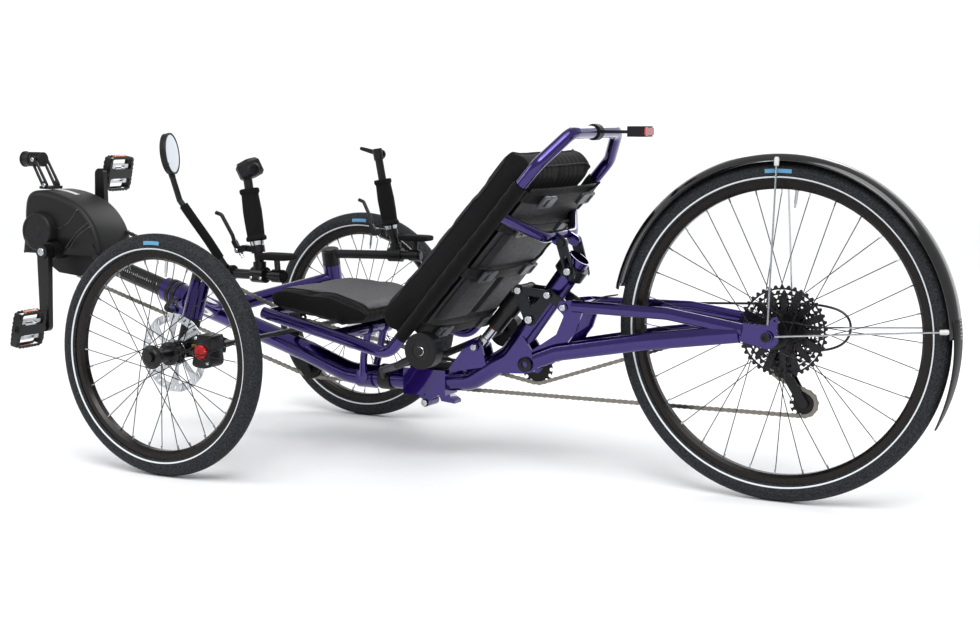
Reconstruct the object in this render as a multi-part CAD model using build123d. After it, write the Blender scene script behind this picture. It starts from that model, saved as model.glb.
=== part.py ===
"""Adult recumbent tadpole tricycle with motor assist and rear suspension, as separate pieces.

Millimetres. Built with the origin on the ground under the rear axle, +X towards the front, +Y to the rider's
left, +Z up; every piece is moved by -ORIGIN_X when it is written, which puts the row's origin at the bottom
centre of the bounding box.
"""
from build123d import *
from math import asin, atan2, cos, degrees, hypot, pi, radians, sin, tan
import os

os.makedirs("parts", exist_ok=True)

# ---------------------------------------------------------------- driving sizes
WHEELBASE = 1149.0
TRACK = 762.0
FRONT_R = 243.0
REAR_R = 319.5
TYRE = 40.0
TYRE_WALL = 3.5
RIM_HALF = 12.0
SPOKES = 32
SPOKE_R = 0.9
TUBE_R = 23.0
TUBE_WALL = 2.5
BOOM_R = TUBE_R - TUBE_WALL - 0.05
BOOM_SLOPE = 0.30
JUNCTION = (1303.0, 284.0)
FOLD = (750.0, 126.0)
FOLD_GAP = 0.2
POST_TOP = (409.5, 0.0, 441.6)
BB = (1706.0, 405.0)
CRANK = 170.0
PEDAL_TURN = 78.0
CHAIN_Y = -50.0
CHAINRING_T = 38
COGS = (11, 13, 15, 18, 21, 24, 28, 32, 37, 42)
COG_IN_USE = 2
COG_STEP = 4.0
IDLER_T = 15
PULLEY_T = 12
PITCH = 12.7
SWING = (507.0, 227.0)
ROCKER = (505.0, 316.0)
SHOCK_TOP = (530.0, 373.0)
LINK_FRONT = (462.0, 368.0)
LINK_REAR = (425.0, 346.0)
SHOCK_LOW = (633.0, 251.0)
PIN_R = 5.0
FIT = 0.05
SEAT_PIVOT = (880.0, 275.6)
SEAT_HALF = 168.0
RAIL_R = 12.5
BACK_FOOT = (750.0, 247.0)
BACK_TOP = (423.0, 628.0)
SLOT_BOLT = (417.0, 417.0)
SLOT_TOP = (433.8, 472.3)
KINGPIN_TOP = (1153.0, 245.0, 376.0)
KINGPIN_LOW = (1158.0, 268.0, 303.0)
KINGPIN_R = 13.95
BALL = (1080.0, 272.0, 256.0)
BALL_AXIS = (0.0208, -0.3005, 0.9536)
ROTOR_R = 80.0
AXLE_R = 6.0
DROP_Y = 67.0
ORIGIN_X = 757.2

WRITTEN = []


def write(node, *shapes):
    """Write the solids of one named piece."""
    solids = [s for shape in shapes for s in shape.solids()]
    export_step(Compound(children=[Solid(s.wrapped) for s in solids]).moved(Location((-ORIGIN_X, 0, 0))),
                f"parts/{node}.step")
    WRITTEN.append((node, len(solids)))


def both(shape):
    """A left-hand shape and its right-hand mirror."""
    return [shape, shape.mirror(Plane.XZ)]


def rod(a, b, r, bore=0.0):
    """A straight round bar or tube from a to b."""
    a, b = Vector(*a), Vector(*b)
    plane = Plane(origin=a, z_dir=(b - a).normalized())
    solid = extrude(plane * Circle(r), (b - a).length)
    return solid - extrude(plane * Circle(bore), (b - a).length) if bore else solid


def across(centre, y0, y1, r, bore=0.0):
    """A round bar or ring along Y at centre (x, z)."""
    return rod((centre[0], y0, centre[1]), (centre[0], y1, centre[1]), r, bore)


def pipe(points, radius, r, bore=0.0):
    """A bent bar or tube through points with one bend radius."""
    path = FilletPolyline(*points, radius=radius)
    start = Plane(origin=path @ 0, z_dir=path % 0)
    solid = sweep(start * Circle(r), path=path)
    return solid - sweep(start * Circle(bore), path=path) if bore else solid


def oval(points, radius, half_wide, half_high):
    """A bent bar of oval section, upright, through points with one bend radius."""
    path = FilletPolyline(*points, radius=radius)
    along_path = path % 0
    start = Plane(origin=path @ 0, x_dir=Vector(0, 0, 1).cross(along_path).normalized(), z_dir=along_path)
    return sweep(start * Ellipse(half_wide, half_high), path=path)


def plate(points, y0, y1, corner=0.0):
    """A flat plate with an outline in X, Z between two Y planes."""
    face = make_face(Polyline(*[(x, y0, z) for x, z in points], close=True))
    solid = extrude(face, amount=y1 - y0, dir=(0, 1, 0))
    return fillet(solid.edges().filter_by(Axis.Y), corner) if corner else solid


def strap(a, b, ra, rb, y0, y1):
    """A flat link with round ends ra and rb at the points a and b (x, z)."""
    a, b = Vector(a[0], 0, a[1]), Vector(b[0], 0, b[1])
    d = b - a
    turn = atan2((ra - rb) / d.length, 1)
    t = d.normalized()
    n = Vector(-t.Z, 0, t.X)
    lean = t * sin(turn)
    up, down = lean + n * cos(turn), lean - n * cos(turn)
    points = [a + up * ra, b + up * rb, b + down * rb, a + down * ra]
    body = plate([(p.X, p.Z) for p in points], y0, y1)
    return body + across((a.X, a.Z), y0, y1, ra) + across((b.X, b.Z), y0, y1, rb)


def ring(points, centre, arc=360.0, start=0.0):
    """Turn an outline of (radius, y) points about the Y axis at centre (x, z)."""
    face = make_face(Polyline(*[(r, y, 0) for r, y in points], close=True))
    solid = revolve(face, Axis.Y, arc)
    return solid.moved(Location((centre[0], 0, centre[1]), (0, start, 0)))


def on_boom(x):
    """Height of the boom's centre line."""
    return JUNCTION[1] + BOOM_SLOPE * (x - JUNCTION[0])


def box(x0, x1, y0, y1, z0, z1, corner=0.0):
    """A block between planes, with its upright edges rounded."""
    block = Pos((x0 + x1) / 2, (y0 + y1) / 2, (z0 + z1) / 2) * Box(x1 - x0, y1 - y0, z1 - z0)
    return fillet(block.edges().filter_by(Axis.Z), corner) if corner else block


def pitch_radius(teeth):
    return PITCH / (2 * sin(pi / teeth))


def sprocket(teeth, centre, y, half, bore):
    """A toothed wheel: a disc with one rounded notch between each pair of teeth."""
    r = pitch_radius(teeth)
    disc = across(centre, y - half, y + half, r + 3.2, bore)
    notch = [
        across((centre[0] + r * cos(a), centre[1] + r * sin(a)), y - half - 1, y + half + 1, 3.9)
        for a in (2 * pi * (k + 0.5) / teeth for k in range(teeth))
    ]
    return disc - notch


# ---------------------------------------------------------------- front frame
boom_dir = Vector(1, 0, BOOM_SLOPE).normalized()
tube_line = [(1440, 0, on_boom(1440)), (1055, 0, on_boom(1055)), (945, 0, 170), (FOLD[0] + FOLD_GAP, 0, 170)]
main_core = pipe(tube_line, 150, TUBE_R)
main_tube = pipe(tube_line, 150, TUBE_R, TUBE_R - TUBE_WALL)
HINGE_R = 9.0
HINGE_HALF = 22.0
KNUCKLE_HALF = 10.0
front_block = box(FOLD[0] + FOLD_GAP, 800, -26, 26, 142, 197) - main_core
knuckle = across(FOLD, -KNUCKLE_HALF, KNUCKLE_HALF, HINGE_R)
web = plate([(FOLD[0] + 1, FOLD[1]), (790, 142), (FOLD[0] + 1, 142)], -KNUCKLE_HALF, KNUCKLE_HALF)
knuckle_all = (knuckle + web) - across(FOLD, -30, 30, PIN_R + FIT)
LATCH = (778.0, 204.0)
latch_pin = across(LATCH, -14, 14, 4)
latch_lug = strap(LATCH, (786, 190), 7, 8, 9.5, 14)
latch_base = latch_pin + latch_lug + latch_lug.mirror(Plane.XZ)
write("main_tube", main_tube + front_block + knuckle_all + (latch_base - main_core))

axis_up = (Vector(*KINGPIN_TOP) - Vector(*KINGPIN_LOW)).normalized()
top, low = Vector(*KINGPIN_TOP), Vector(*KINGPIN_LOW)
head_solid = rod(tuple(low), tuple(top), 20.5)
head_bore = rod(tuple(low - axis_up * 10), tuple(top + axis_up * 10), KINGPIN_R + FIT)
beam = rod((JUNCTION[0], 0, JUNCTION[1]), tuple(low + axis_up * 38), 17)
beam_left = (beam + head_solid) - head_bore - main_core
write("cross_beams", *both(beam_left))

CLAMP_R = TUBE_R + 4.5
clamp_core = rod((1372, 0, on_boom(1372)), (1437, 0, on_boom(1437)), CLAMP_R, TUBE_R)
ear = plate([(1385, on_boom(1385) - 44), (1428, on_boom(1428) - 44), (1428, on_boom(1428) - 24),
             (1385, on_boom(1385) - 24)], 1.5, 9) - rod((1350, 0, on_boom(1350)), (1460, 0, on_boom(1460)), TUBE_R)
write("boom_clamp", clamp_core + both(ear)[0] + both(ear)[1])

yoke_arm = pipe([(900, 24, 172), (893, 31, 215), (SEAT_PIVOT[0], 31, SEAT_PIVOT[1])], 20, 8)
yoke_ring = across(SEAT_PIVOT, 22, 41, 17)
yoke_foot = across((900, 170), 18, 30, 14)
yoke = (yoke_arm + yoke_ring + yoke_foot) - across(SEAT_PIVOT, 10, 70, 12 + FIT) - main_core
saddle = rod((880, 0, 170), (920, 0, 170), TUBE_R + 4) - box(800, 1000, -50, 50, 181, 250) - main_core
write("seat_yoke", yoke + yoke.mirror(Plane.XZ) + saddle)

PUCK = (662.0, 262.0)
bar = pipe([(850, 20, 172), (842, 40, 190), (765, 108, 214), (PUCK[0], 150, PUCK[1]), (PUCK[0], 196, PUCK[1])], 8, 8)
bar = bar - rod((700, 0, 170), (1000, 0, 170), TUBE_R)
strap_ring = rod((836, 0, 170), (864, 0, 170), TUBE_R + 4, TUBE_R)
puck = across(PUCK, 163, 191, 36, 8)
write("bumper", bar + bar.mirror(Plane.XZ) + strap_ring, *both(puck))

IDLER = (1110.0, 303.0)
GUIDE = (1080.0, 165.0)
idler_stub = across(IDLER, CHAIN_Y - 9, -28, 4)
guide_stub = across(GUIDE, CHAIN_Y - 9, -28, 5)
idler_plate = plate([(1066, 158), (1084, 150), (1112, 180), (1122, 240), (1124, 303), (1118, 314), (1102, 314),
                     (1097, 303), (1097, 235), (1080, 185)], -33, -28) + across((1110, 226), -28, -10, 12)
guide = across(GUIDE, CHAIN_Y - 7, CHAIN_Y + 7, 24) - across(GUIDE, CHAIN_Y - 4, CHAIN_Y + 4, 30, 17)
carrier = (idler_plate + idler_stub + guide_stub + guide) - main_core
write("chain_guide", max(carrier.solids(), key=lambda s: s.volume))
write("chain_idler", sprocket(IDLER_T, IDLER, CHAIN_Y, 1.1, 8) + across(IDLER, CHAIN_Y - 4.5, CHAIN_Y + 4.5, 12, 4 + FIT))

lever = strap(LATCH, (705, 205), 7, 6, -9, 9) - across(LATCH, -30, 30, 4 + FIT)
write("latch_lever", lever)

# ---------------------------------------------------------------- boom, motor and headlight
spindle_bore = across(BB, -120, 120, 12.0)
boom_tube = rod((1245, 0, on_boom(1245)), (1640, 0, on_boom(1640)), BOOM_R, BOOM_R - 2.5)
motor_outline = [(1606, 372), (1596, 408), (1612, 455), (1645, 492), (1700, 518), (1762, 526), (1784, 518),
                 (1790, 470), (1786, 420), (1762, 380), (1716, 352), (1652, 346)]
boom_core = rod((1245, 0, on_boom(1245)), (1640, 0, on_boom(1640)), BOOM_R)
motor = plate(motor_outline, -42, 42, 6) + across((1748, 445), 42, 76, 38) + across(BB, 42, 84, 20)
motor = motor + across(BB, -44, -42, 24)
motor = motor - spindle_bore - boom_core
write("boom_tube", boom_tube)
write("motor_housing", motor)
cover_outline = [(1584, 386), (1580, 410), (1600, 466), (1640, 508), (1700, 533), (1768, 541), (1796, 528),
                 (1803, 470), (1801, 420), (1797, 398), (1650, 398)]
inner_outline = [(1560, 388), (1584, 410), (1603, 464), (1642, 504), (1701, 529), (1767, 537), (1792, 525),
                 (1799, 470), (1797, 420), (1793, 398), (1650, 360)]
cover = plate(cover_outline, -63, 60) - plate(inner_outline, -60.5, 57.5)
cover = cover - across((1748, 445), 50, 90, 38.5) - across(BB, 50, 90, 22) - across(BB, -90, -55, 24)
cover = cover - box(1500, 1650, -62, -42.5, 380, 520) - box(1500, 1900, -90, 90, 300, 400)

LAMP = (1806.0, 610.0)
lamp_pin = across(LAMP, -21.5, 21.5, 4)
strut = strap((1772, 551), LAMP, 9, 8, 18, 21.5)
lamp_foot = box(1756, 1788, -21.5, 21.5, 541.5, 549, 3)
lamp_bracket = strut + strut.mirror(Plane.XZ) + lamp_foot + lamp_pin
write("chain_cover", max(cover.solids(), key=lambda s: s.volume), lamp_bracket)
lamp = rod((1793, 0, 610), (1846, 0, 610), 17)
for k in range(4):
    lamp = lamp - rod((1799 + 8 * k, 0, 610), (1802.5 + 8 * k, 0, 610), 25, 14.5)
lamp = lamp + rod((1846, 0, 610), (1850, 0, 610), 18.5) + across(LAMP, -14, 14, 8)
lamp = lamp - across(LAMP, -40, 40, 4 + FIT)
write("headlight", lamp)

# ---------------------------------------------------------------- cranks and pedals
def crank(side, dz):
    end = (BB[0], BB[1] + dz)
    arm = strap(BB, end, 17, 13, 92, 106) + across(BB, 88, 110, 16)
    axle = across(end, 106, 205, 4.5)
    arm = arm + axle
    return arm if side > 0 else arm.mirror(Plane.XZ)


spindle = across(BB, -92, 92, 12.0 - FIT)
write("crank_left", crank(1, -CRANK) - spindle)
carrier = across(BB, CHAIN_Y - 3, -45, 30)
ring_gear = sprocket(CHAINRING_T, BB, CHAIN_Y, 1.1, 29) + carrier
write("crank_right", crank(-1, CRANK) + spindle, ring_gear - spindle)
cage_reach = 42.0


def pedal(side, dz):
    c = (BB[0], BB[1] + dz)
    barrel = across(c, 112, 202, 10)
    cage = box(c[0] - cage_reach, c[0] + cage_reach, 116, 200, c[1] - 11, c[1] + 11, 9)
    for s in (-1, 1):
        mid = c[0] + s * 23.5
        cage = cage - box(mid - 12.5, mid + 12.5, 123, 193, c[1] - 20, c[1] + 20, 4)
    cage = cage.rotate(Axis((c[0], 0, c[1]), (0, 1, 0)), PEDAL_TURN)
    body = (cage + barrel) - across(c, 100, 210, 4.5 + FIT)
    return body if side > 0 else body.mirror(Plane.XZ)


write("pedal_left", pedal(1, -CRANK))
write("pedal_right", pedal(-1, CRANK))

# ---------------------------------------------------------------- wheels
def wheel(node, centre, R, y0, flanges, flange_r):
    """Tyre and laced rim. flanges are the hub's two spoke planes, counted from the rim's middle."""
    mid = R - TYRE / 2
    r0, r1, r2, r3 = R - 51.5, R - 46, R - 42, R - 34
    h = RIM_HALF
    section = [(r0, -6), (r0, 6), (r1, h), (r3, h), (r3, h - 2.5), (r2, h - 2.5), (r2, 2.5 - h), (r3, 2.5 - h),
               (r3, -h), (r1, -h)]
    rim = ring(section, (0, 0))
    solid_rim = ring([(r0, -6), (r0, 6), (r1, h), (r3, h), (r3, -h), (r1, -h)], (0, 0))
    around = Location((mid, 0, 0))
    torus = revolve(Plane.XY * around * (Circle(TYRE / 2) - Circle(TYRE / 2 - TYRE_WALL)), Axis.Y, 360)
    tyre = torus - solid_rim
    at = Location((centre[0], y0, centre[1]))
    write(node + "_tyre", Compound(children=[max(tyre.solids(), key=lambda s: s.volume)]).moved(at))
    spokes = []
    for k in range(SPOKES):
        plane = flanges[k % 2]
        lean = 1 if (k // 2) % 2 else -1
        rim_a = 2 * pi * k / SPOKES
        hub_a = rim_a + lean * radians(62)
        y_hub = plane + lean * 1.3
        y_rim = (1 if plane > 0 else -1) * 3.2 + lean * 1.3
        hub_r, rim_r = flange_r + 1.4, r0 - 0.3
        spokes.append(rod((hub_r * cos(hub_a), y_hub, hub_r * sin(hub_a)),
                          (rim_r * cos(rim_a), y_rim, rim_r * sin(rim_a)), SPOKE_R))
    write(node + "_rim", rim.moved(at), *[s.moved(at) for s in spokes])


def rotor(centre, y):
    """A brake disc with eight arms."""
    band = across(centre, y - 1, y + 1, ROTOR_R, ROTOR_R - 17)
    spider = across(centre, y - 1, y + 1, 27)
    arm = box(centre[0] + 24, centre[0] + ROTOR_R - 12, y - 1, y + 1, centre[1] - 4, centre[1] + 4)
    arms = [arm.rotate(Axis((centre[0], 0, centre[1]), (0, 1, 0)), 45 * k) for k in range(8)]
    return band + spider + arms


WHEEL_Y = TRACK / 2
FRONT_C = (WHEELBASE, FRONT_R)
F_FLANGE, F_FLANGE_R = 27.0, 24.0
ROTOR_Y = WHEEL_Y - 44
hub = across(FRONT_C, WHEEL_Y - 50, WHEEL_Y + 34, 16)
for f in (-F_FLANGE, F_FLANGE):
    hub = hub + across(FRONT_C, WHEEL_Y + f - 2, WHEEL_Y + f + 2, F_FLANGE_R)
hub = (hub + rotor(FRONT_C, ROTOR_Y)) - across(FRONT_C, 200, 500, AXLE_R + FIT)
for side, tag in ((1, "left"), (-1, "right")):
    wheel(f"front_{tag}", FRONT_C, FRONT_R, side * WHEEL_Y, (F_FLANGE, -F_FLANGE), F_FLANGE_R)
    write(f"front_{tag}_hub", hub if side > 0 else hub.mirror(Plane.XZ))

REAR_C = (0.0, REAR_R)
R_FLANGE_R = 28.0
FREEHUB_R = 16.0
wheel("rear", REAR_C, REAR_R, 0, (33, -15), R_FLANGE_R)
rear_hub = across(REAR_C, -61, 60, FREEHUB_R)
for f in (33, -15):
    rear_hub = rear_hub + across(REAR_C, f - 2, f + 2, R_FLANGE_R)
write("rear_hub", rear_hub - across(REAR_C, -80, 80, AXLE_R + FIT))
cassette = across(REAR_C, -60, -20, 22, FREEHUB_R + FIT)
for k, teeth in enumerate(COGS):
    y = CHAIN_Y + (k - COG_IN_USE) * COG_STEP
    cog = sprocket(teeth, REAR_C, y, 0.9, 21)
    if teeth >= 21:
        r = pitch_radius(teeth) - 7
        hole = [across((REAR_C[0] + (r * 0.5 + 14) * cos(a), REAR_C[1] + (r * 0.5 + 14) * sin(a)), y - 2, y + 2,
                       (r - 28) * 0.36) for a in (2 * pi * i / 8 for i in range(8))]
        cog = cog - hole
    cassette = cassette + cog
write("cassette", cassette)

# ---------------------------------------------------------------- uprights, steering arms and controls
king_low = low - axis_up * 66
king_top = top + axis_up * 36
kingpin = rod(tuple(king_low), tuple(king_top), KINGPIN_R)
collar = rod(tuple(king_low), tuple(low - axis_up * 1), 19)
axle_boss = across(FRONT_C, 283, WHEEL_Y - 51, 15)
axle = across(FRONT_C, 283, WHEEL_Y + 40, AXLE_R)
axle_nut = across(FRONT_C, WHEEL_Y + 34.6, WHEEL_Y + 40, 10)
ball, ball_axis = Vector(*BALL), Vector(*BALL_AXIS).normalized()
arm_root = king_low + axis_up * 18
lower_arm = rod(tuple(arm_root), tuple(ball - ball_axis * 12), 5.5) + rod(tuple(ball - ball_axis * 15),
                                                                       tuple(ball - ball_axis * 6), 10)
stud = rod(tuple(ball - ball_axis * 8), tuple(ball + ball_axis * 10), 4)
stud_nut = rod(tuple(ball + ball_axis * 9.5), tuple(ball + ball_axis * 14), 6.5)
caliper_arm = box(WHEELBASE - 92, WHEELBASE - 8, 304, 311, 232, 262, 3)
CAL_X = WHEELBASE - 78
caliper = box(CAL_X - 22, CAL_X + 18, 311, 352, 224, 282, 5) - box(CAL_X - 14, CAL_X + 40, ROTOR_Y - 2.4,
                                                               ROTOR_Y + 2.4, 200, 300)
caliper = caliper - across(FRONT_C, ROTOR_Y - 2.4, ROTOR_Y + 2.4, ROTOR_R + 1.5)
knob = across((CAL_X - 4, 252), 352, 358, 13)
upright = kingpin + collar + axle_boss + axle + axle_nut + lower_arm + stud + stud_nut + caliper_arm
for arm, brake, tag in zip(both(upright), both(caliper + knob), ("left", "right")):
    write(f"upright_{tag}", arm, brake)

arm_front = top + axis_up * 24
ARM_REAR = (927.0, 268.0, 402.0)
STEM_LOW = (990.0, 263.0, 402.0)
GRIP_LOW = (1001.0, 257.0, 469.0)
GRIP_TOP = (1020.0, 254.0, 572.0)
bar_dir = (Vector(*GRIP_TOP) - Vector(*GRIP_LOW)).normalized()
bar_top = Vector(*GRIP_TOP) + bar_dir * 44
clamp = rod(tuple(top + axis_up * 1), tuple(top + axis_up * 34), 20)
steer = clamp + rod(tuple(arm_front), ARM_REAR, 10)
stem = pipe([STEM_LOW, (991, 262, 425), GRIP_LOW, tuple(bar_top)], 30, 9)
tee = rod((974, 264, 402), (1006, 261, 402), 16) + rod(STEM_LOW, (991, 262, 428), 13)
pad_post = rod((943, 267, 402), (943, 271, 434), 6) + rod((931, 267.5, 402), (955, 266.5, 402), 13)
steer = (steer + stem + tee + pad_post) - kingpin
grip = rod(GRIP_LOW, GRIP_TOP, 16) - steer
pad = box(905, 981, 247, 295, 434, 448, 8) - steer
for (g, w), tag in zip(zip(both(grip), both(pad)), ("left", "right")):
    write(f"grip_{tag}", g, w)

perch_mid = Vector(*GRIP_LOW) - bar_dir * 17
PIVOT = Vector(1043, perch_mid.Y + 3, 449)
perch_ring = rod(tuple(perch_mid - bar_dir * 7), tuple(perch_mid + bar_dir * 7), 14)
perch_arm = strap((perch_mid.X + 12, perch_mid.Z), (PIVOT.X - 14, PIVOT.Z + 5), 6, 6, PIVOT.Y - 5, PIVOT.Y + 5)
fork = strap((PIVOT.X - 16, PIVOT.Z + 5), (PIVOT.X, PIVOT.Z), 6, 6, PIVOT.Y + 4.3, PIVOT.Y + 7.5)
fork2 = strap((PIVOT.X - 16, PIVOT.Z + 5), (PIVOT.X, PIVOT.Z), 6, 6, PIVOT.Y - 7.5, PIVOT.Y - 4.3)
brake_pin = across((PIVOT.X, PIVOT.Z), PIVOT.Y - 8.5, PIVOT.Y + 8.5, 2.5)
perch = (perch_ring + perch_arm + fork + fork2 + brake_pin) - steer
blade = strap((PIVOT.X, PIVOT.Z), (PIVOT.X + 10, PIVOT.Z + 16), 5, 5, PIVOT.Y - 4, PIVOT.Y + 4)
blade = blade + pipe([(PIVOT.X + 10, PIVOT.Y, PIVOT.Z + 16), (1056, PIVOT.Y + 3, 479), (1079, PIVOT.Y + 7, 519),
                      (1092, PIVOT.Y + 8, 523)], 7, 4)
blade = blade - across((PIVOT.X, PIVOT.Z), 200, 300, 2.5 + FIT)
for part, tag in zip(both(blade), ("left", "right")):
    write(f"brake_lever_{tag}", part)
con = bar_top - bar_dir * 6
controller = box(con.X - 26, con.X + 16, con.Y - 26, con.Y + 8, con.Z - 14, con.Z + 16, 6)
controller = controller + rod((con.X - 30, con.Y - 6, con.Z + 4), (con.X - 26, con.Y - 6, con.Z + 4), 9)
write("controller", controller - steer)
shift_body = rod(tuple(bar_top + bar_dir * 0.2), tuple(bar_top + bar_dir * 26), 11).mirror(Plane.XZ)
tip = bar_top + bar_dir * 13
shift_pin = across((tip.X, tip.Z), -tip.Y - 16, -tip.Y, 4)
shift_lever = across((tip.X, tip.Z), -tip.Y - 16, -tip.Y - 11.4, 11)
shift_lever = shift_lever + strap((tip.X, tip.Z), (tip.X + 52, tip.Z + 12), 6, 4, -tip.Y - 15.5, -tip.Y - 12)
write("steering_arm_left", steer, perch)
write("steering_arm_right", steer.mirror(Plane.XZ), perch.mirror(Plane.XZ), shift_body + shift_pin)
write("shifter_lever", shift_lever - across((tip.X, tip.Z), -400, 0, 4 + FIT))

MIRROR_ROOT = (1075.0, 254.0, 411.0)
mount_ring = rod((1063, 251, 402), (1087, 248.5, 401), 15)
mirror_arm = pipe([(1075, 262, 415), (1095, 292, 470), (1150, 310, 548), (1163, 314, 592)], 14, 6)
mirror_arm = mirror_arm + rod((1075, 250, 403), (1075, 262, 415), 7)
write("mirror_arm", (mirror_arm + mount_ring) - rod(tuple(arm_front), ARM_REAR, 10))
face_dir = Vector(-0.93, -0.33, 0.12).normalized()
MIRROR_C = Vector(1172, 317, 640)
ball_end = Vector(1163, 314, 592)
glass_back = rod(tuple(MIRROR_C - face_dir * 2), tuple(MIRROR_C + face_dir * 9), 41)
arm_end = Vector(13, 4, 44).normalized()
stalk = rod(tuple(ball_end + arm_end * 0.4), tuple(ball_end + arm_end * 16), 6.5)
write("mirror_head", glass_back + stalk)

rod_r = 5.5
eye = rod(tuple(ball - ball_axis * 4), tuple(ball + ball_axis * 4), 10)
eye_bore = rod(tuple(ball - ball_axis * 20), tuple(ball + ball_axis * 20), 4 + FIT)
eye_open = rod(tuple(ball - ball_axis * 20), tuple(ball + ball_axis * 20), 5.8)
tie = rod(BALL, (BALL[0], -BALL[1], BALL[2]), rod_r)
tie_rod = (tie + eye + eye.mirror(Plane.XZ)) - eye_bore - eye_open.mirror(Plane.XZ)
write("tie_rod", Compound(children=[max(tie_rod.solids(), key=lambda s: s.volume)]))

# ---------------------------------------------------------------- rear frame
rear_line = [(FOLD[0] + 7, 0, 169), (652, 0, 180), (562, 0, 236), POST_TOP]
ahead = box(FOLD[0] - FOLD_GAP, 800, -60, 60, 100, 250)
rear_core = pipe(rear_line, 60, TUBE_R) - ahead
rear_tube = pipe(rear_line, 60, TUBE_R, TUBE_R - TUBE_WALL) - ahead
rear_block = box(700, FOLD[0] - FOLD_GAP, -26, 26, 145, 197) - rear_core
rear_lug = across(FOLD, KNUCKLE_HALF + 0.5, HINGE_HALF, HINGE_R)
rear_web = plate([(FOLD[0] - 1, FOLD[1]), (FOLD[0] - 1, 145), (715, 145)], KNUCKLE_HALF + 0.5, HINGE_HALF)
lugs = both(rear_lug + rear_web)
fold_pin = across(FOLD, -HINGE_HALF - 3, HINGE_HALF + 3, PIN_R)
foot = plate([(700, 145), (722, 145), (716, 131), (684, 128), (684, 134)], -14, 14)
pivot_plate = plate([(600, 200), (562, 238), (525, 285), (505, 255), (490, 227), (500, 209), (520, 205)], 18, 24, 6)
pivot_boss = across(SWING, -24, 24, 14)
rocker_pin = across(ROCKER, -33, 33, PIN_R)
cheek = plate([(700, 193), (648, 262), (633, 267), (618, 256), (606, 212)], 16.5, 22, 5)
cheek_head = across(SHOCK_LOW, 22, 27, 9)
rear = rear_tube + rear_block + foot + fold_pin + lugs
rear = rear + both((pivot_plate - rear_core)) + rocker_pin + both(cheek - rear_core) + both(cheek_head)
rear = rear + pivot_boss
REAR_IDLER = (525.0, 205.0)
swing_pin = across(SWING, -48.6, 46, 6)
idler_arm = strap(SWING, REAR_IDLER, 12, 9, -48.2, -45.4) + across(REAR_IDLER, -58, -45.4, 4)
write("rear_frame", rear + swing_pin + idler_arm)

axis_post = (Vector(*POST_TOP) - Vector(562, 0, 236)).normalized()
grab = Vector(SLOT_BOLT[0], 0, SLOT_BOLT[1])
post_mid = Vector(562, 0, 236) + axis_post * ((grab - Vector(562, 0, 236)).dot(axis_post))
post_clamp = rod(tuple(post_mid - axis_post * 17), tuple(post_mid + axis_post * 7), 31, TUBE_R)
slot_boss = across(SLOT_BOLT, 24, 31.5, 9)
slot_bolt = across(SLOT_BOLT, 26, 38, 4) + across(SLOT_BOLT, 37.6, 43, 8)
write("post_clamp", (post_clamp + both(slot_boss) + both(slot_bolt)) - rear_core)

# ---------------------------------------------------------------- swingarm, fender
STAY_Y = 62.0
SLOT_STAY = 68.0
lower_stay = oval([(484, 46, 238), (440, 47, 256), (254, STAY_Y, 292), (55, DROP_Y + 1, 322)], 40, 9, 17)
upper_stay = oval([(404, 43, 350), (200, STAY_Y + 1, 350), (48, DROP_Y + 1, 329)], 60, 8, 12)
gusset = plate([(520, 214), (524, 236), (440, 292), (424, 330), (438, 343), (434, 358), (404, 362), (380, 352),
                (398, 300), (436, 250), (495, 213)], 36.5, 42.5, 4)
swing_eye = across(SWING, 26, 45, 16)
dropout = strap(REAR_C, (62, 326), 22, 15, DROP_Y - 4, DROP_Y + 4)
bridge = across((392, 350), -43, 43, 8)
rear_axle = across(REAR_C, -DROP_Y - 10, DROP_Y + 10, AXLE_R) + across(REAR_C, DROP_Y + 4, DROP_Y + 10, 12)
EYELET = (-14.0, 350.0)
eyelet = strap(REAR_C, EYELET, 16, 7, DROP_Y - 4, DROP_Y + 4)
hanger = strap((-2, 308), (10, 284), 12, 9, -DROP_Y - 4, -DROP_Y + 2)
link_head = across(LINK_REAR, 42.5, 46, 9)
side = lower_stay + upper_stay + gusset + swing_eye + dropout + link_head + eyelet
side = side - across(SWING, 0, 60, 6 + FIT) - across(EYELET, 50, 80, 2.5)
arm = side + side.mirror(Plane.XZ) + bridge + rear_axle + hanger
write("swingarm", arm)
FENDER_R = REAR_R + 14
fender_section = [(FENDER_R - 12, -30), (FENDER_R, -27), (FENDER_R + 2, -15), (FENDER_R + 2, 15), (FENDER_R, 27),
                  (FENDER_R - 12, 30), (FENDER_R - 12, 28), (FENDER_R - 2, 25), (FENDER_R, 14), (FENDER_R, -14),
                  (FENDER_R - 2, -25), (FENDER_R - 12, -28)]
fender = ring(fender_section, REAR_C, 166, -178)
flap = plate([(-FENDER_R - 1, REAR_R + 22), (-FENDER_R + 1.5, REAR_R + 22), (-FENDER_R + 6, REAR_R - 60),
              (-FENDER_R + 14, 184), (-FENDER_R + 11, 184), (-FENDER_R + 3, REAR_R - 60)], -26, 26)
nose = strap((338, 379), (392, 350), 7, 8, -9, 9) - bridge
stay_parts = [rod((-2, DROP_Y + 7, 342), (2, 31.6, 645), 1.8), rod((-16, DROP_Y + 7, 322), (-318, 31.6, 345), 1.8)]
write("fender", fender, flap - fender, nose - fender, *both(stay_parts[0]), *both(stay_parts[1]))

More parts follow.
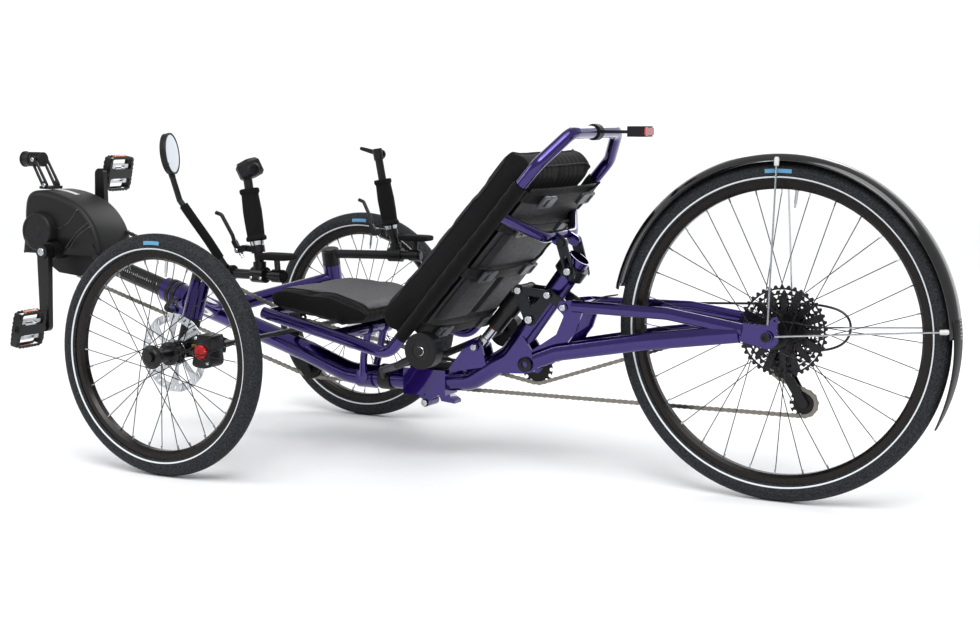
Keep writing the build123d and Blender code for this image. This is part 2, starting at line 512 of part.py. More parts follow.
# ---------------------------------------------------------------- rocker, link and shock
rocker_y0, rocker_y1 = 24.5, 29.5
rocker = strap(ROCKER, SHOCK_TOP, 13, 12, rocker_y0, rocker_y1)
rocker = rocker + strap(ROCKER, LINK_FRONT, 13, 11, rocker_y0, rocker_y1)
rocker = rocker + strap(SHOCK_TOP, LINK_FRONT, 8, 8, rocker_y0, rocker_y1)
link_pin = across(LINK_FRONT, rocker_y1, 35.2, PIN_R) + across(LINK_FRONT, 35.2, 39, 8)
rocker = (rocker + link_pin) - across(ROCKER, 0, 40, PIN_R + FIT)
write("rocker", rocker + rocker.mirror(Plane.XZ) + across(SHOCK_TOP, -32, 32, PIN_R))
link = strap(LINK_FRONT, LINK_REAR, 10, 10, 30, 35) - across(LINK_FRONT, 0, 60, PIN_R + FIT)
write("rocker_link", *both(link))
a, f = Vector(SHOCK_TOP[0], 0, SHOCK_TOP[1]), Vector(SHOCK_LOW[0], 0, SHOCK_LOW[1])
run = (f - a).normalized()
length = (f - a).length


def along(s, e, r, bore=0.0):
    """A round bar on the shock's axis between two distances from its upper eye."""
    return rod(tuple(a + run * s), tuple(a + run * e), r, bore)


can = across(SHOCK_TOP, -22, 22, 11) + along(6, 30, 15) + along(18, 60, 21.5) + along(60, 105, 18)
can = can - along(38, 106, 10 + FIT) - across(SHOCK_TOP, -30, 30, PIN_R + FIT)
write("shock_body", can)
shaft = along(60, 140, 10) + along(136, length - 6, 13) + across(SHOCK_LOW, -15.5, 15.5, 11)
write("shock_shaft", shaft - along(150, length + 40, 0.5))

# ---------------------------------------------------------------- derailleur and idler
write("rear_idler", sprocket(IDLER_T, REAR_IDLER, CHAIN_Y, 1.1, 8)
      + across(REAR_IDLER, CHAIN_Y - 5, CHAIN_Y + 1.4, 12, 4 + FIT))
UPPER, LOWER = (5.0, 248.0), (-36.0, 181.0)
mech = strap((10, 284), (14, 262), 9, 8, -DROP_Y - 14, -DROP_Y - 4.4)
mech = mech + strap((14, 262), UPPER, 10, 13, -DROP_Y - 14, -58.5)
write("derailleur", mech)
cage_out = strap(UPPER, LOWER, 12, 10, -57.8, -56)
cage_in = strap(UPPER, LOWER, 10, 9, -44, -42.5)
cage = cage_out + cage_in + across(UPPER, -57, -43, 3) + across(LOWER, -57, -43, 3)
write("derailleur_cage", cage)
for node, centre in (("pulley_upper", UPPER), ("pulley_lower", LOWER)):
    write(node, sprocket(PULLEY_T, centre, CHAIN_Y, 1.1, 8) + across(centre, CHAIN_Y - 5, CHAIN_Y + 5, 10, 3 + FIT))

# ---------------------------------------------------------------- chain
def chain_route():
    """Circles (x, z, radius, turn) that the chain passes, in order; turn +1 is from x to z."""
    r = pitch_radius
    return [(*BB, r(CHAINRING_T), 1), (*IDLER, r(IDLER_T), -1), (*REAR_IDLER, r(IDLER_T), -1),
            (*REAR_C, r(COGS[COG_IN_USE]), 1), (*UPPER, r(PULLEY_T), -1), (*LOWER, r(PULLEY_T), 1),
            (*GUIDE, 24.0 - 3.0, 1)]


def band(offset, y0, y1):
    """The chain's closed band, its outline grown by offset from the pitch line."""
    circles = [(x, z, r + turn * offset, turn) for x, z, r, turn in chain_route()]
    ends = []
    for (x0, z0, r0, t0), (x1, z1, r1, t1) in zip(circles, circles[1:] + circles[:1]):
        d, base = hypot(x1 - x0, z1 - z0), atan2(z1 - z0, x1 - x0)
        swing = (t0 * r0 - t1 * r1) / d
        angle = base - pi / 2 + asin(swing)
        n = (cos(angle), sin(angle))
        ends.append(((x0 + n[0] * r0 * t0, z0 + n[1] * r0 * t0), (x1 + n[0] * r1 * t1, z1 + n[1] * r1 * t1)))
    edges = []
    for k, (x, z, r, turn) in enumerate(circles):
        start, stop = ends[k - 1][1], ends[k][0]
        a0, a1 = atan2(start[1] - z, start[0] - x), atan2(stop[1] - z, stop[0] - x)
        sweep_a = (a1 - a0) * turn % (2 * pi)
        m = a0 + turn * sweep_a / 2
        edges.append(ThreePointArc((start[0], y0, start[1]), (x + r * cos(m), y0, z + r * sin(m)),
                                   (stop[0], y0, stop[1])))
        edges.append(Line((ends[k][0][0], y0, ends[k][0][1]), (ends[k][1][0], y0, ends[k][1][1])))
    return extrude(make_face(Wire(edges)), amount=y1 - y0, dir=(0, 1, 0))


strips = [band(4.0, y, y + 1.4) - band(-4.0, y, y + 1.4) for y in (CHAIN_Y - 2.9, CHAIN_Y + 1.5)]
write("chain", *strips)
cable = pipe([(1.6, -76, 276), (-60, -80, 276), (-112, -84, 300), (-112, -84, 352), (-50, -84, 369),
              (60, -84, 362), (200, -SLOT_STAY - 10, 356)], 16, 2.5)
write("shift_cable", cable)

# ---------------------------------------------------------------- seat
rail = [(1050, SEAT_HALF, 312), (BACK_FOOT[0], SEAT_HALF, BACK_FOOT[1]), (BACK_TOP[0], SEAT_HALF, BACK_TOP[1]),
        (380, 108, 688), (380, -108, 688), (BACK_TOP[0], -SEAT_HALF, BACK_TOP[1]),
        (BACK_FOOT[0], -SEAT_HALF, BACK_FOOT[1]), (1050, -SEAT_HALF, 312)]
rails = pipe(rail, 38, RAIL_R)
front_bar = across((1046, 311), -SEAT_HALF, SEAT_HALF, 10)
pivot_bar = across(SEAT_PIVOT, -SEAT_HALF, SEAT_HALF, 12)
brace = pipe([(506, SEAT_HALF, 531), (456, 66, 484), (456, -66, 484), (506, -SEAT_HALF, 531)], 40, 11)
lug = strap((456, 484), SLOT_TOP, 11, 11, 25, 31.6)
seat_frame = rails + front_bar + pivot_bar + brace + both(lug)
write("seat_frame", seat_frame)
slot_dir = Vector(SLOT_TOP[0] - SLOT_BOLT[0], 0, SLOT_TOP[1] - SLOT_BOLT[1]).normalized()
end = Vector(SLOT_BOLT[0], 0, SLOT_BOLT[1]) - slot_dir * 9
high = Vector(SLOT_BOLT[0], 0, SLOT_BOLT[1]) + slot_dir * 26
slotted = strap(SLOT_TOP, (end.X, end.Z), 11, 10, 32, 37)
slotted = slotted - strap((high.X, high.Z), ((end - slot_dir * 30).X, (end - slot_dir * 30).Z), 5.2, 7.5, 30, 40)
slotted = (slotted + across(SLOT_TOP, 37, 41, 8)) - brace
write("seat_links", *both(slotted))
base = plate([(819, 301), (803, 319), (905, 351), (1040, 358), (1064, 350), (1060, 324), (880, 293.5)], -150, 150, 8)
write("seat_cushion", base)
t = Vector(BACK_TOP[0] - BACK_FOOT[0], 0, BACK_TOP[1] - BACK_FOOT[1]).normalized()
n = Vector(t.Z, 0, -t.X)


def back_point(s, d):
    """A point s up the back's rails and d in front of them."""
    p = Vector(BACK_FOOT[0], 0, BACK_FOOT[1]) + t * s + n * d
    return p.X, p.Z


back = plate([back_point(30, 12.6), back_point(492, 12.6), back_point(500, 40), back_point(490, 68),
              back_point(30, 70), back_point(18, 42)], -172, 172, 10)
write("back_cushion", back)
panel = plate([back_point(60, -14), back_point(455, -14), back_point(455, -20), back_point(60, -20)], -150, 150)
write("back_panel", panel - brace)
light = box(268, 304, -24, 24, 680, 700, 5) + box(300, 372, -8, 8, 686, 692) + across((380, 688), -10, 10, 16)
write("tail_light", light - rails)

print(len(WRITTEN), "nodes", sum(c for _, c in WRITTEN), "solids")
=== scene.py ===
import math

import bmesh
import bpy
import numpy as np
from mathutils import Matrix, Vector
from mathutils.bvhtree import BVHTree


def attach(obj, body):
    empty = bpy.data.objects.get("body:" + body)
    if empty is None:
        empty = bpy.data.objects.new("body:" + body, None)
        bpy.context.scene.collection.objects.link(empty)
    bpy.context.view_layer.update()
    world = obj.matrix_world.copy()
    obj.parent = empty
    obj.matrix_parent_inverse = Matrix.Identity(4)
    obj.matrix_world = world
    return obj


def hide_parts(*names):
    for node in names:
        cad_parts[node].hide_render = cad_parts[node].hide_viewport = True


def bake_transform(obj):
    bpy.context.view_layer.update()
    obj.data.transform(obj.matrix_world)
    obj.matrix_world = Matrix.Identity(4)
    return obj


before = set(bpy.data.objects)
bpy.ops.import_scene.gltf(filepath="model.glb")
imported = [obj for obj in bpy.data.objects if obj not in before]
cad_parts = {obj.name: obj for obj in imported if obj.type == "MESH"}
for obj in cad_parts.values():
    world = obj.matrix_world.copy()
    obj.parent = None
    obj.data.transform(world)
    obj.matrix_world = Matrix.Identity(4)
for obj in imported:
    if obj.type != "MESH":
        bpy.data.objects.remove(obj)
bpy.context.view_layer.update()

# Adult recumbent tadpole tricycle. Shapes are worked out in millimetres from the ground under the rear
# axle (+X forward, +Y to the rider's left, +Z up) and moved to the row frame when a piece is made.
ORIGIN = np.array([757.2, 0.0, 0.0])
BACK_FOOT = np.array([750.0, 0.0, 247.0])
BACK_UP = np.array([-327.0, 0.0, 381.0]) / 502.09
BACK_OUT = np.array([381.0, 0.0, 327.0]) / 502.09


def row(points):
    """Millimetres on the drawing to metres in the row frame."""
    return (np.asarray(points, float) - ORIGIN) / 1000.0


def linear(code):
    """An sRGB hex colour as a linear RGBA tuple."""
    c = np.array([int(code[k:k + 2], 16) for k in (1, 3, 5)]) / 255.0
    c = np.where(c <= 0.04045, c / 12.92, ((c + 0.055) / 1.055) ** 2.4)
    return (*c, 1.0)


# ---------------------------------------------------------------- materials
def add(tree, kind, inputs=(), **settings):
    """One shader node with its settings, and its inputs as values or as links from other sockets."""
    node = tree.nodes.new("ShaderNode" + kind)
    for key, value in settings.items():
        setattr(node, key, value)
    for key, value in dict(inputs).items():
        if isinstance(value, bpy.types.NodeSocket):
            tree.links.new(value, node.inputs[key])
        else:
            node.inputs[key].default_value = value
    return node


def start(name):
    """An empty material's tree, its Object coordinates and its output."""
    made = bpy.data.materials.new(name)
    made.use_nodes = True
    tree = made.node_tree
    tree.nodes.clear()
    return made, tree, add(tree, "TexCoord").outputs["Object"], add(tree, "OutputMaterial")


def finish_of(name, dark, light, grain, rough, bump=0.0, pattern=None, **sockets):
    """A surface whose colour and roughness drift between two values with grains of that many millimetres,
    with a bump of that many millimetres. pattern adds (height, share of the light colour) from the
    coordinates, that share being smaller where the height is low: painted shade in the hollows."""
    made, tree, place, out = start(name)
    noise = add(tree, "TexNoise", {"Vector": place, "Scale": 1000.0 / grain, "Detail": 5.0}).outputs[0]
    height, share = noise, noise
    # Without a pattern the colour drifts at random; a pattern ties it to the relief, with painted shade
    # darkening its hollows.
    if pattern:
        height, share = pattern(tree, place, noise)
    colour = add(tree, "Mix", {0: share, 6: linear(dark), 7: linear(light)}, data_type="RGBA").outputs[2]
    gloss = add(tree, "MapRange", {0: noise, 1: 0.3, 2: 0.7, 3: rough[0], 4: rough[1]}).outputs[0]
    shader = add(tree, "BsdfPrincipled", {"Base Color": colour, "Roughness": gloss})
    for key, value in sockets.items():
        shader.inputs[key.replace("_", " ")].default_value = value
    if bump:
        relief = add(tree, "Bump", {"Strength": 1.0, "Distance": bump / 1000.0, "Height": height})
        tree.links.new(relief.outputs[0], shader.inputs["Normal"])
    tree.links.new(shader.outputs[0], out.inputs[0])
    return made


def waves(pitch, direction, share=0.5):
    """Ribs of that pitch in millimetres across one axis, with a little distortion; the surface's noise is not
    used.
    """
    def pattern(tree, place, noise):
        rib = add(tree, "TexWave", {"Vector": place, "Scale": 1000.0 / pitch / 20.0, "Distortion": 0.4},
                  bands_direction=direction).outputs["Fac"]
        # The colour follows the ribs' height: painted shade, darker in the gaps between the ribs.
        painted_shade_share = add(tree, "Math", {0: rib, 1: share}, operation="MULTIPLY").outputs[0]
        return rib, painted_shade_share
    return pattern


def weave(pitch):
    """Two sets of threads of that pitch in millimetres, the higher of the two showing; painted shade
    darkens the low places between the threads.
    """
    def pattern(tree, place, noise):
        warp, weft = [add(tree, "TexWave", {"Vector": place, "Scale": 1000.0 / pitch / 20.0},
                          bands_direction=d).outputs["Fac"] for d in ("X", "Y")]
        high = add(tree, "Math", {0: warp, 1: weft}, operation="MAXIMUM").outputs[0]
        # Colour share: the threads' height as painted shade, times the noise for random tone.
        painted_shade_share = add(tree, "Math", {0: high, 1: noise}, operation="MULTIPLY").outputs[0]
        return high, painted_shade_share
    return pattern


def cells(size):
    """Open cells of that size in millimetres, their colour darker towards the bottom of each pit: painted
    shade.
    """
    def pattern(tree, place, noise):
        pit = add(tree, "TexVoronoi", {"Vector": place, "Scale": 1000.0 / size}).outputs["Distance"]
        # The colour follows the pit's depth: painted shade.
        return pit, add(tree, "Math", {0: pit, 1: 0.8}, operation="MULTIPLY").outputs[0]
    return pattern


# Candy lacquer over a metallic base: deep violet with bright, sharp reflections from the clear coat.
CANDY = finish_of("candy_lacquer", "#130840", "#34197f", 0.7, (0.16, 0.26), Metallic=0.95,
                  Coat_Weight=1.0, Coat_Roughness=0.03)
# Powder-coated and anodised aluminium: black with a soft, broad highlight.
ANODISED = finish_of("black_anodised_aluminium", "#060607", "#0f0f11", 6.0, (0.28, 0.4),
                     Specular_IOR_Level=0.35)
RIM = finish_of("brown_black_anodised_rim", "#0d0a08", "#1b1511", 12.0, (0.24, 0.34), Metallic=0.5)
# Lacquered polycarbonate: black with a clear mirror-like highlight.
GLOSS = finish_of("gloss_black_polycarbonate", "#040405", "#09090a", 30.0, (0.1, 0.16), Coat_Weight=0.6,
                  Coat_Roughness=0.05)
# Moulded ABS with a spark-eroded grain: black, dull, with a fine leathery surface.
MOULDED = finish_of("moulded_abs", "#070708", "#121214", 0.9, (0.4, 0.54), bump=0.06, Specular_IOR_Level=0.3)
GREY_METAL = finish_of("grey_anodised_aluminium", "#1f2023", "#34363a", 4.0, (0.3, 0.4), Metallic=0.8)
# Turned and polished aluminium and stainless steel: bright, with faint machining drift.
SILVER = finish_of("polished_aluminium", "#a9acb0", "#cfd2d5", 3.0, (0.16, 0.28), Metallic=1.0)
STEEL = finish_of("nickel_plated_chain_steel", "#6d6a64", "#9a958b", 2.0, (0.25, 0.42), Metallic=1.0)
BLACK_STEEL = finish_of("blacked_sprocket_steel", "#1a1a1c", "#3c3c40", 2.5, (0.22, 0.4), Metallic=0.9)
# Closed-cell neoprene foam: dead black with shallow pits about a millimetre across, each pit darkened by
# painted shade.
FOAM = finish_of("neoprene_foam", "#060606", "#131314", 1.4, (0.85, 0.95), bump=0.25, pattern=cells(1.4),
                 Specular_IOR_Level=0.2)
# Knitted spacer mesh: raised ribs 3 mm apart, with painted shade darkening the gaps between them.
MESH = finish_of("ribbed_spacer_mesh", "#020203", "#101012", 1.1, (0.8, 0.95), bump=0.45,
                 pattern=waves(3.2, "Y", 0.75), Sheen_Weight=0.05, Sheen_Roughness=0.5,
                 Specular_IOR_Level=0.2)
# Plain-woven nylon, thread spacing 0.5 mm drawn at 1.3 mm so that it shows.
NYLON = finish_of("woven_nylon_panel", "#08080a", "#18181b", 9.0, (0.5, 0.65), bump=0.15, pattern=weave(1.3),
                  Sheen_Weight=0.08, Specular_IOR_Level=0.35)
# The base cushion's top: a smooth coated cloth, dark grey, with a soft shine.
TOPCLOTH = finish_of("coated_seat_cloth", "#232326", "#343438", 7.0, (0.5, 0.62), bump=0.1,
                     pattern=weave(1.0))
# Nylon webbing: ribs 1.6 mm apart, with painted shade darkening the grooves between them.
WEBBING = finish_of("nylon_webbing", "#030304", "#101012", 3.0, (0.55, 0.7), bump=0.2,
                    pattern=waves(1.6, "X"), Specular_IOR_Level=0.3)
BUCKLE = finish_of("acetal_buckle", "#2b2d30", "#44474b", 5.0, (0.3, 0.4))
RED = finish_of("red_anodised", "#8f1016", "#c01b22", 4.0, (0.25, 0.35), Metallic=0.4)
GOLD = finish_of("gold_anodised", "#8a6a2a", "#b08a3c", 4.0, (0.25, 0.35), Metallic=0.8)
AMBER = finish_of("amber_reflector", "#b4530c", "#d86a14", 1.2, (0.12, 0.2), Coat_Weight=0.8)
LENS = finish_of("red_acrylic_lens", "#8a0508", "#b80d12", 2.0, (0.08, 0.14), Coat_Weight=1.0)
PALE = finish_of("pale_nylon_clip", "#b9bab6", "#d6d6d2", 6.0, (0.4, 0.5))
GLASS = finish_of("mirror_glass", "#c9d0d6", "#dfe5ea", 80.0, (0.01, 0.02), Metallic=1.0)
DISPLAY = finish_of("display_glass", "#0b0d12", "#131722", 40.0, (0.04, 0.07), Coat_Weight=1.0)


def rubber():
    """Tyre rubber: charcoal, dull, dusty in the tread. The attribute lie is the angle from the crown as a
    share of half a turn, and turn is the share of the wheel's way round. A reflective line runs at lie 0.62
    to 0.68, and one blue patch stands above it."""
    made, tree, place, out = start("tyre_rubber")
    lie = add(tree, "Attribute", attribute_name="lie").outputs["Fac"]
    turn = add(tree, "Attribute", attribute_name="turn").outputs["Fac"]

    def within(value, low, high):
        a = add(tree, "Math", {0: value, 1: low}, operation="GREATER_THAN").outputs[0]
        b = add(tree, "Math", {0: value, 1: high}, operation="LESS_THAN").outputs[0]
        return add(tree, "Math", {0: a, 1: b}, operation="MULTIPLY").outputs[0]

    dust = add(tree, "TexNoise", {"Vector": place, "Scale": 300.0, "Detail": 6.0}).outputs[0]
    dusty = add(tree, "MapRange", {0: dust, 1: 0.38, 2: 0.66}).outputs[0]
    tones = {0: dusty, 6: linear("#08090a"), 7: linear("#2b2e33")}
    base = add(tree, "Mix", tones, data_type="RGBA").outputs[2]
    line = within(lie, 0.625, 0.675)
    base = add(tree, "Mix", {0: line, 6: base, 7: linear("#d4d8da")}, data_type="RGBA").outputs[2]
    patch = add(tree, "Math", {0: within(lie, 0.40, 0.52), 1: within(turn, 0.235, 0.262)},
                operation="MULTIPLY").outputs[0]
    base = add(tree, "Mix", {0: patch, 6: base, 7: linear("#5b94b8")}, data_type="RGBA").outputs[2]
    shader = add(tree, "BsdfPrincipled", {"Base Color": base, "Roughness": 0.72, "Specular IOR Level": 0.3})
    relief = add(tree, "Bump", {"Distance": 0.0002, "Height": dust})
    tree.links.new(relief.outputs[0], shader.inputs["Normal"])
    tree.links.new(shader.outputs[0], out.inputs[0])
    return made


RUBBER = rubber()

# ---------------------------------------------------------------- shapes: each is (points, faces)
def linked(name, data):
    """An object of that data in the scene."""
    made = bpy.data.objects.new(name, data)
    bpy.context.scene.collection.objects.link(made)
    return made


def corners(mesh):
    """A mesh's points as rows."""
    co = np.zeros(len(mesh.vertices) * 3)
    mesh.vertices.foreach_get("co", co)
    return co.reshape(-1, 3)


def polar(r, a):
    """Points at the distance r and the angle a from the origin of a plane."""
    return np.stack([r * np.cos(a), r * np.sin(a)], 1)


def thickened(made, thick, offset):
    """The piece with a wall that many metres thick, inwards for -1 and outwards for 1."""
    wall = made.modifiers.new("wall", "SOLIDIFY")
    wall.thickness, wall.offset = thick, offset
    return made


def net(points, round_u=False, round_v=False):
    """A grid of points with a face between each four neighbours; round_u and round_v close it on itself."""
    n, m = points.shape[:2]
    i = np.arange(n if round_u else n - 1)[:, None]
    j = np.arange(m if round_v else m - 1)[None, :]
    k, l = (i + 1) % n, (j + 1) % m
    faces = np.stack([i * m + j, k * m + j, k * m + l, i * m + l], -1).reshape(-1, 4)
    return points.reshape(-1, 3), faces.tolist()


def join(*shapes):
    """Several shapes as one."""
    points, faces, base = [], [], 0
    for p, f in shapes:
        points.append(np.asarray(p, float))
        faces += [[base + q for q in face] for face in f]
        base += len(p)
    return np.concatenate(points), faces


def mirrored(shape):
    """The shape on the other side of the middle plane."""
    p, f = shape
    return p * np.array([1.0, -1.0, 1.0]), [face[::-1] for face in f]


def beside(axis):
    """Two unit directions square to an axis and to each other."""
    axis = np.asarray(axis, float) / np.linalg.norm(axis)
    u = np.cross(axis, [0.0, 0.0, 1.0] if abs(axis[2]) < 0.9 else [1.0, 0.0, 0.0])
    u /= np.linalg.norm(u)
    return axis, u, np.cross(axis, u)


def turned(a, b, profile, sides=40, flutes=0, depth=0.0, hollow=False):
    """A turned shape: p(t, f) = a + e t + r (u cos f + v sin f), where e runs from a to b, and profile lists
    (t, r) in millimetres. flutes and depth wave its radius; hollow closes the profile on itself."""
    a = np.asarray(a, float)
    e, u, v = beside(np.asarray(b, float) - a)
    f = np.linspace(0, 2 * np.pi, sides, endpoint=False)
    t, r = np.array(profile, float).T
    reach = r[:, None] - depth * (0.5 + 0.5 * np.cos(flutes * f))[None, :] * (r[:, None] > 0)
    points = a + t[:, None, None] * e + reach[..., None] * (u * np.cos(f)[:, None] + v * np.sin(f)[:, None])
    return net(points, round_u=hollow, round_v=True)


def smooth_line(corners, steps=12):
    """A Catmull-Rom line through the corners, steps points to a stretch."""
    c = np.asarray(corners, float)
    c = np.vstack([2 * c[0] - c[1], c, 2 * c[-1] - c[-2]])
    s = np.linspace(0, 1, steps, endpoint=False)[:, None]
    runs = [0.5 * (2 * p1 + (p2 - p0) * s + (2 * p0 - 5 * p1 + 4 * p2 - p3) * s ** 2
                   + (3 * p1 - p0 - 3 * p2 + p3) * s ** 3)
            for p0, p1, p2, p3 in zip(c, c[1:], c[2:], c[3:])]
    return np.vstack(runs + [c[-2][None]])


def carried(line, section, across=None, closed=True, caps=True):
    """A section of (side, up) points carried along a line. across is the section's side direction; without
    one, each step's side is the last one's, squared to the line."""
    line = np.asarray(line, float)
    section = np.asarray(section, float)
    ahead = np.gradient(line, axis=0)
    ahead /= np.linalg.norm(ahead, axis=1)[:, None]
    side = np.asarray(across, float) if across is not None else beside(ahead[0])[1]
    sides = []
    for e in ahead:
        side = side - e * (side @ e)
        side = side / np.linalg.norm(side)
        sides.append(side)
    s = np.array(sides)
    up = np.cross(ahead, s)
    points = line[:, None] + section[None, :, :1] * s[:, None] + section[None, :, 1:] * up[:, None]
    p, f = net(points, round_v=closed)
    n, m = points.shape[:2]
    if caps and closed:
        f += [list(range(m))[::-1], [(n - 1) * m + k for k in range(m)]]
    return p, f


def circle(r, n=14):
    return polar(r, np.linspace(0, 2 * np.pi, n, endpoint=False))


def oblong(w, h, r, n=4):
    """A rectangle w by h with corners of radius r, n points to a corner."""
    a = np.linspace(0, np.pi / 2, n)
    parts = [np.stack([sx * (w / 2 - r) + r * np.cos(a + q), sy * (h / 2 - r) + r * np.sin(a + q)], 1)
             for sx, sy, q in ((1, 1, 0), (-1, 1, np.pi / 2), (-1, -1, np.pi), (1, -1, 1.5 * np.pi))]
    return np.vstack(parts)


def slab(outline, centre, normal, thick, edge=0.6, side=None):
    """A plate: the outline's (side, up) points, square to normal through centre, with its edges eased by
    drawing both faces in towards the outline's middle."""
    o = np.asarray(outline, float)
    e, u, v = beside(normal)
    if side is not None:
        u = np.asarray(side, float) / np.linalg.norm(side)
        v = np.cross(e, u)
    mid = o.mean(0)
    drawn = mid + (o - mid) * (1 - edge / np.linalg.norm(o - mid, axis=1).mean())
    h = thick / 2
    rings = [(drawn, -h), (o, -h + edge), (o, h - edge), (drawn, h)]
    points = np.array([[np.asarray(centre, float)] * len(o) + r[:, :1] * u + r[:, 1:] * v + d * e
                       for r, d in rings])
    p, f = net(points, round_v=True)
    m = len(o)
    return p, f + [list(range(m))[::-1], [3 * m + k for k in range(m)]]


def cut_plate(outline, holes, centre, y0, y1):
    """A flat plate square to Y with holes: filled flat outlines, given their thickness."""
    curve = bpy.data.curves.new("cut", "CURVE")
    curve.dimensions, curve.fill_mode = "2D", "BOTH"
    curve.extrude = (y1 - y0) / 2
    for ring in [outline, *holes]:
        spline = curve.splines.new("POLY")
        spline.points.add(len(ring) - 1)
        spline.points.foreach_set("co", np.c_[ring, np.zeros(len(ring)), np.ones(len(ring))].ravel())
        spline.use_cyclic_u = True
    holder = linked("cut", curve)
    mesh = bpy.data.meshes.new_from_object(holder)
    flat = corners(mesh)
    points = np.stack([centre[0] + flat[:, 0], (y0 + y1) / 2 + flat[:, 2], centre[1] + flat[:, 1]], 1)
    faces = [list(p.vertices) for p in mesh.polygons]
    bpy.data.objects.remove(holder)
    bpy.data.curves.remove(curve)
    bpy.data.meshes.remove(mesh)
    return points, faces


def copies(shape, places, turns):
    """The shape, drawn about the origin, at many places, each turned by its own matrix."""
    p, f = shape
    points = np.einsum("kij,nj->kni", turns, p) + places[:, None]
    f = np.array([face + face[-1:] * (4 - len(face)) for face in f if len(face) <= 4])
    caps = [face for face in shape[1] if len(face) > 4]
    faces = (f[None] + (np.arange(len(places)) * len(p))[:, None, None]).reshape(-1, f.shape[1]).tolist()
    faces += [[q + k * len(p) for q in face] for k in range(len(places)) for face in caps]
    return points.reshape(-1, 3), faces


# ---------------------------------------------------------------- pieces
def piece(name, body, material, *shapes, slot=None, replaces=(), angle=35.0, ride=True):
    """One visible piece: its shapes joined, doubles merged, faces turned outwards, smooth below the angle.
    slot is not used."""
    points, faces = join(*shapes)
    mesh = bpy.data.meshes.new(name)
    mesh.from_pydata(row(points), [], faces)
    work = bmesh.new()
    work.from_mesh(mesh)
    bmesh.ops.remove_doubles(work, verts=work.verts, dist=2e-6)
    bmesh.ops.recalc_face_normals(work, faces=work.faces)
    work.to_mesh(mesh)
    work.free()
    mesh.shade_smooth()
    mesh.set_sharp_from_angle(angle=math.radians(angle))
    mesh.materials.append(material)
    made = linked(name, mesh)
    if replaces:
        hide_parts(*replaces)
    if ride:
        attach(made, body)
    return made


def bolt(centre, y, r, high=4.0, side=1):
    """A socket-head bolt along Y: a turned head with an eased rim and a round socket."""
    a = (centre[0], y, centre[1])
    b = (centre[0], y + side, centre[1])
    return turned(a, b, [(0, 0), (0, r), (high - 0.8, r), (high, r - 0.8), (high, r * 0.52),
                         (high * 0.45, r * 0.48), (high * 0.45, 0)], 24)


def pair(shape):
    """The shape and its mirror image."""
    return join(shape, mirrored(shape))


# ---------------------------------------------------------------- CAD nodes that keep their shape
FINISHES = {
    CANDY: ["main_tube", "cross_beams", "boom_clamp", "seat_yoke", "seat_frame", "swingarm", "rear_frame"],
    ANODISED: ["boom_tube", "bumper", "upright_left", "upright_right", "steering_arm_left",
               "steering_arm_right", "crank_left", "crank_right", "mirror_arm", "tie_rod",
               "brake_lever_left", "brake_lever_right",
               "shock_body", "derailleur", "derailleur_cage", "rear_hub"],
    MOULDED: ["motor_housing", "headlight", "chain_guide", "chain_idler",
              "rear_idler", "pulley_upper", "pulley_lower", "shifter_lever", "mirror_head", "tail_light",
              "latch_lever"],
    RIM: ["front_left_rim", "front_right_rim", "rear_rim"],
    SILVER: ["shock_shaft"],
    GREY_METAL: ["rocker", "rocker_link", "seat_links", "post_clamp"],
}
for finish, names in FINISHES.items():
    for node in names:
        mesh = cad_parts[node].data
        mesh.materials.clear()
        mesh.materials.append(finish)

# ---------------------------------------------------------------- wheels
WHEELS = {
    "front_left": ((1149.0, 381.0, 243.0), 243.0, "left_wheel", 1),
    "front_right": ((1149.0, -381.0, 243.0), 243.0, "right_wheel", -1),
    "rear": ((0.0, 0.0, 319.5), 319.5, "rear_wheel", 1),
}
WALL, THICK = 20.0, 3.5


def tyre(name, centre, R, body):
    """A tyre: p(f, q) turns a section of radius 20 mm about the wheel, f round the wheel and q round the
    section from its crown. The tread is cut 0.9 mm deep: a middle groove, and slanting sipes beside it."""
    pitches = 144
    n = pitches * 5
    f = np.linspace(0, 2 * np.pi, n, endpoint=False)
    outer = np.radians(np.linspace(-138, 138, 42))
    inner = np.radians(np.linspace(138, -138, 9))
    q = np.concatenate([outer, inner])
    skin = np.concatenate([np.full(42, WALL), np.full(9, WALL - THICK)])
    lie = np.abs(q) / np.pi
    share = (f / (2 * np.pi) * pitches)[:, None] + lie[None, :] * 9.0
    sipe = ((share % 1.0) < 0.35) & (lie > 0.07) & (lie < 0.27)
    groove = np.broadcast_to(lie < 0.018, sipe.shape)
    cut = 0.9 * (sipe | groove) * (skin > WALL - 1)
    radius = skin[None, :] - cut
    out = (R - WALL) + radius * np.cos(q)
    points = np.stack([centre[0] + out * np.cos(f)[:, None], centre[1] + radius * np.sin(q),
                       centre[2] + out * np.sin(f)[:, None]], -1)
    mesh = bpy.data.meshes.new(name)
    p, faces = net(points, True, True)
    mesh.from_pydata(row(p), [], [face[::-1] for face in faces])
    mesh.shade_smooth()
    mesh.materials.append(RUBBER)
    for label, values in (("lie", np.broadcast_to(lie, cut.shape)),
                          ("turn", np.broadcast_to((f / (2 * np.pi))[:, None], cut.shape))):
        mesh.attributes.new(label, "FLOAT", "POINT").data.foreach_set(
            "value", np.ascontiguousarray(values, np.float32).ravel())
    made = linked(name, mesh)
    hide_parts(name.replace("tread_", "") + "_tyre")
    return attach(made, body)


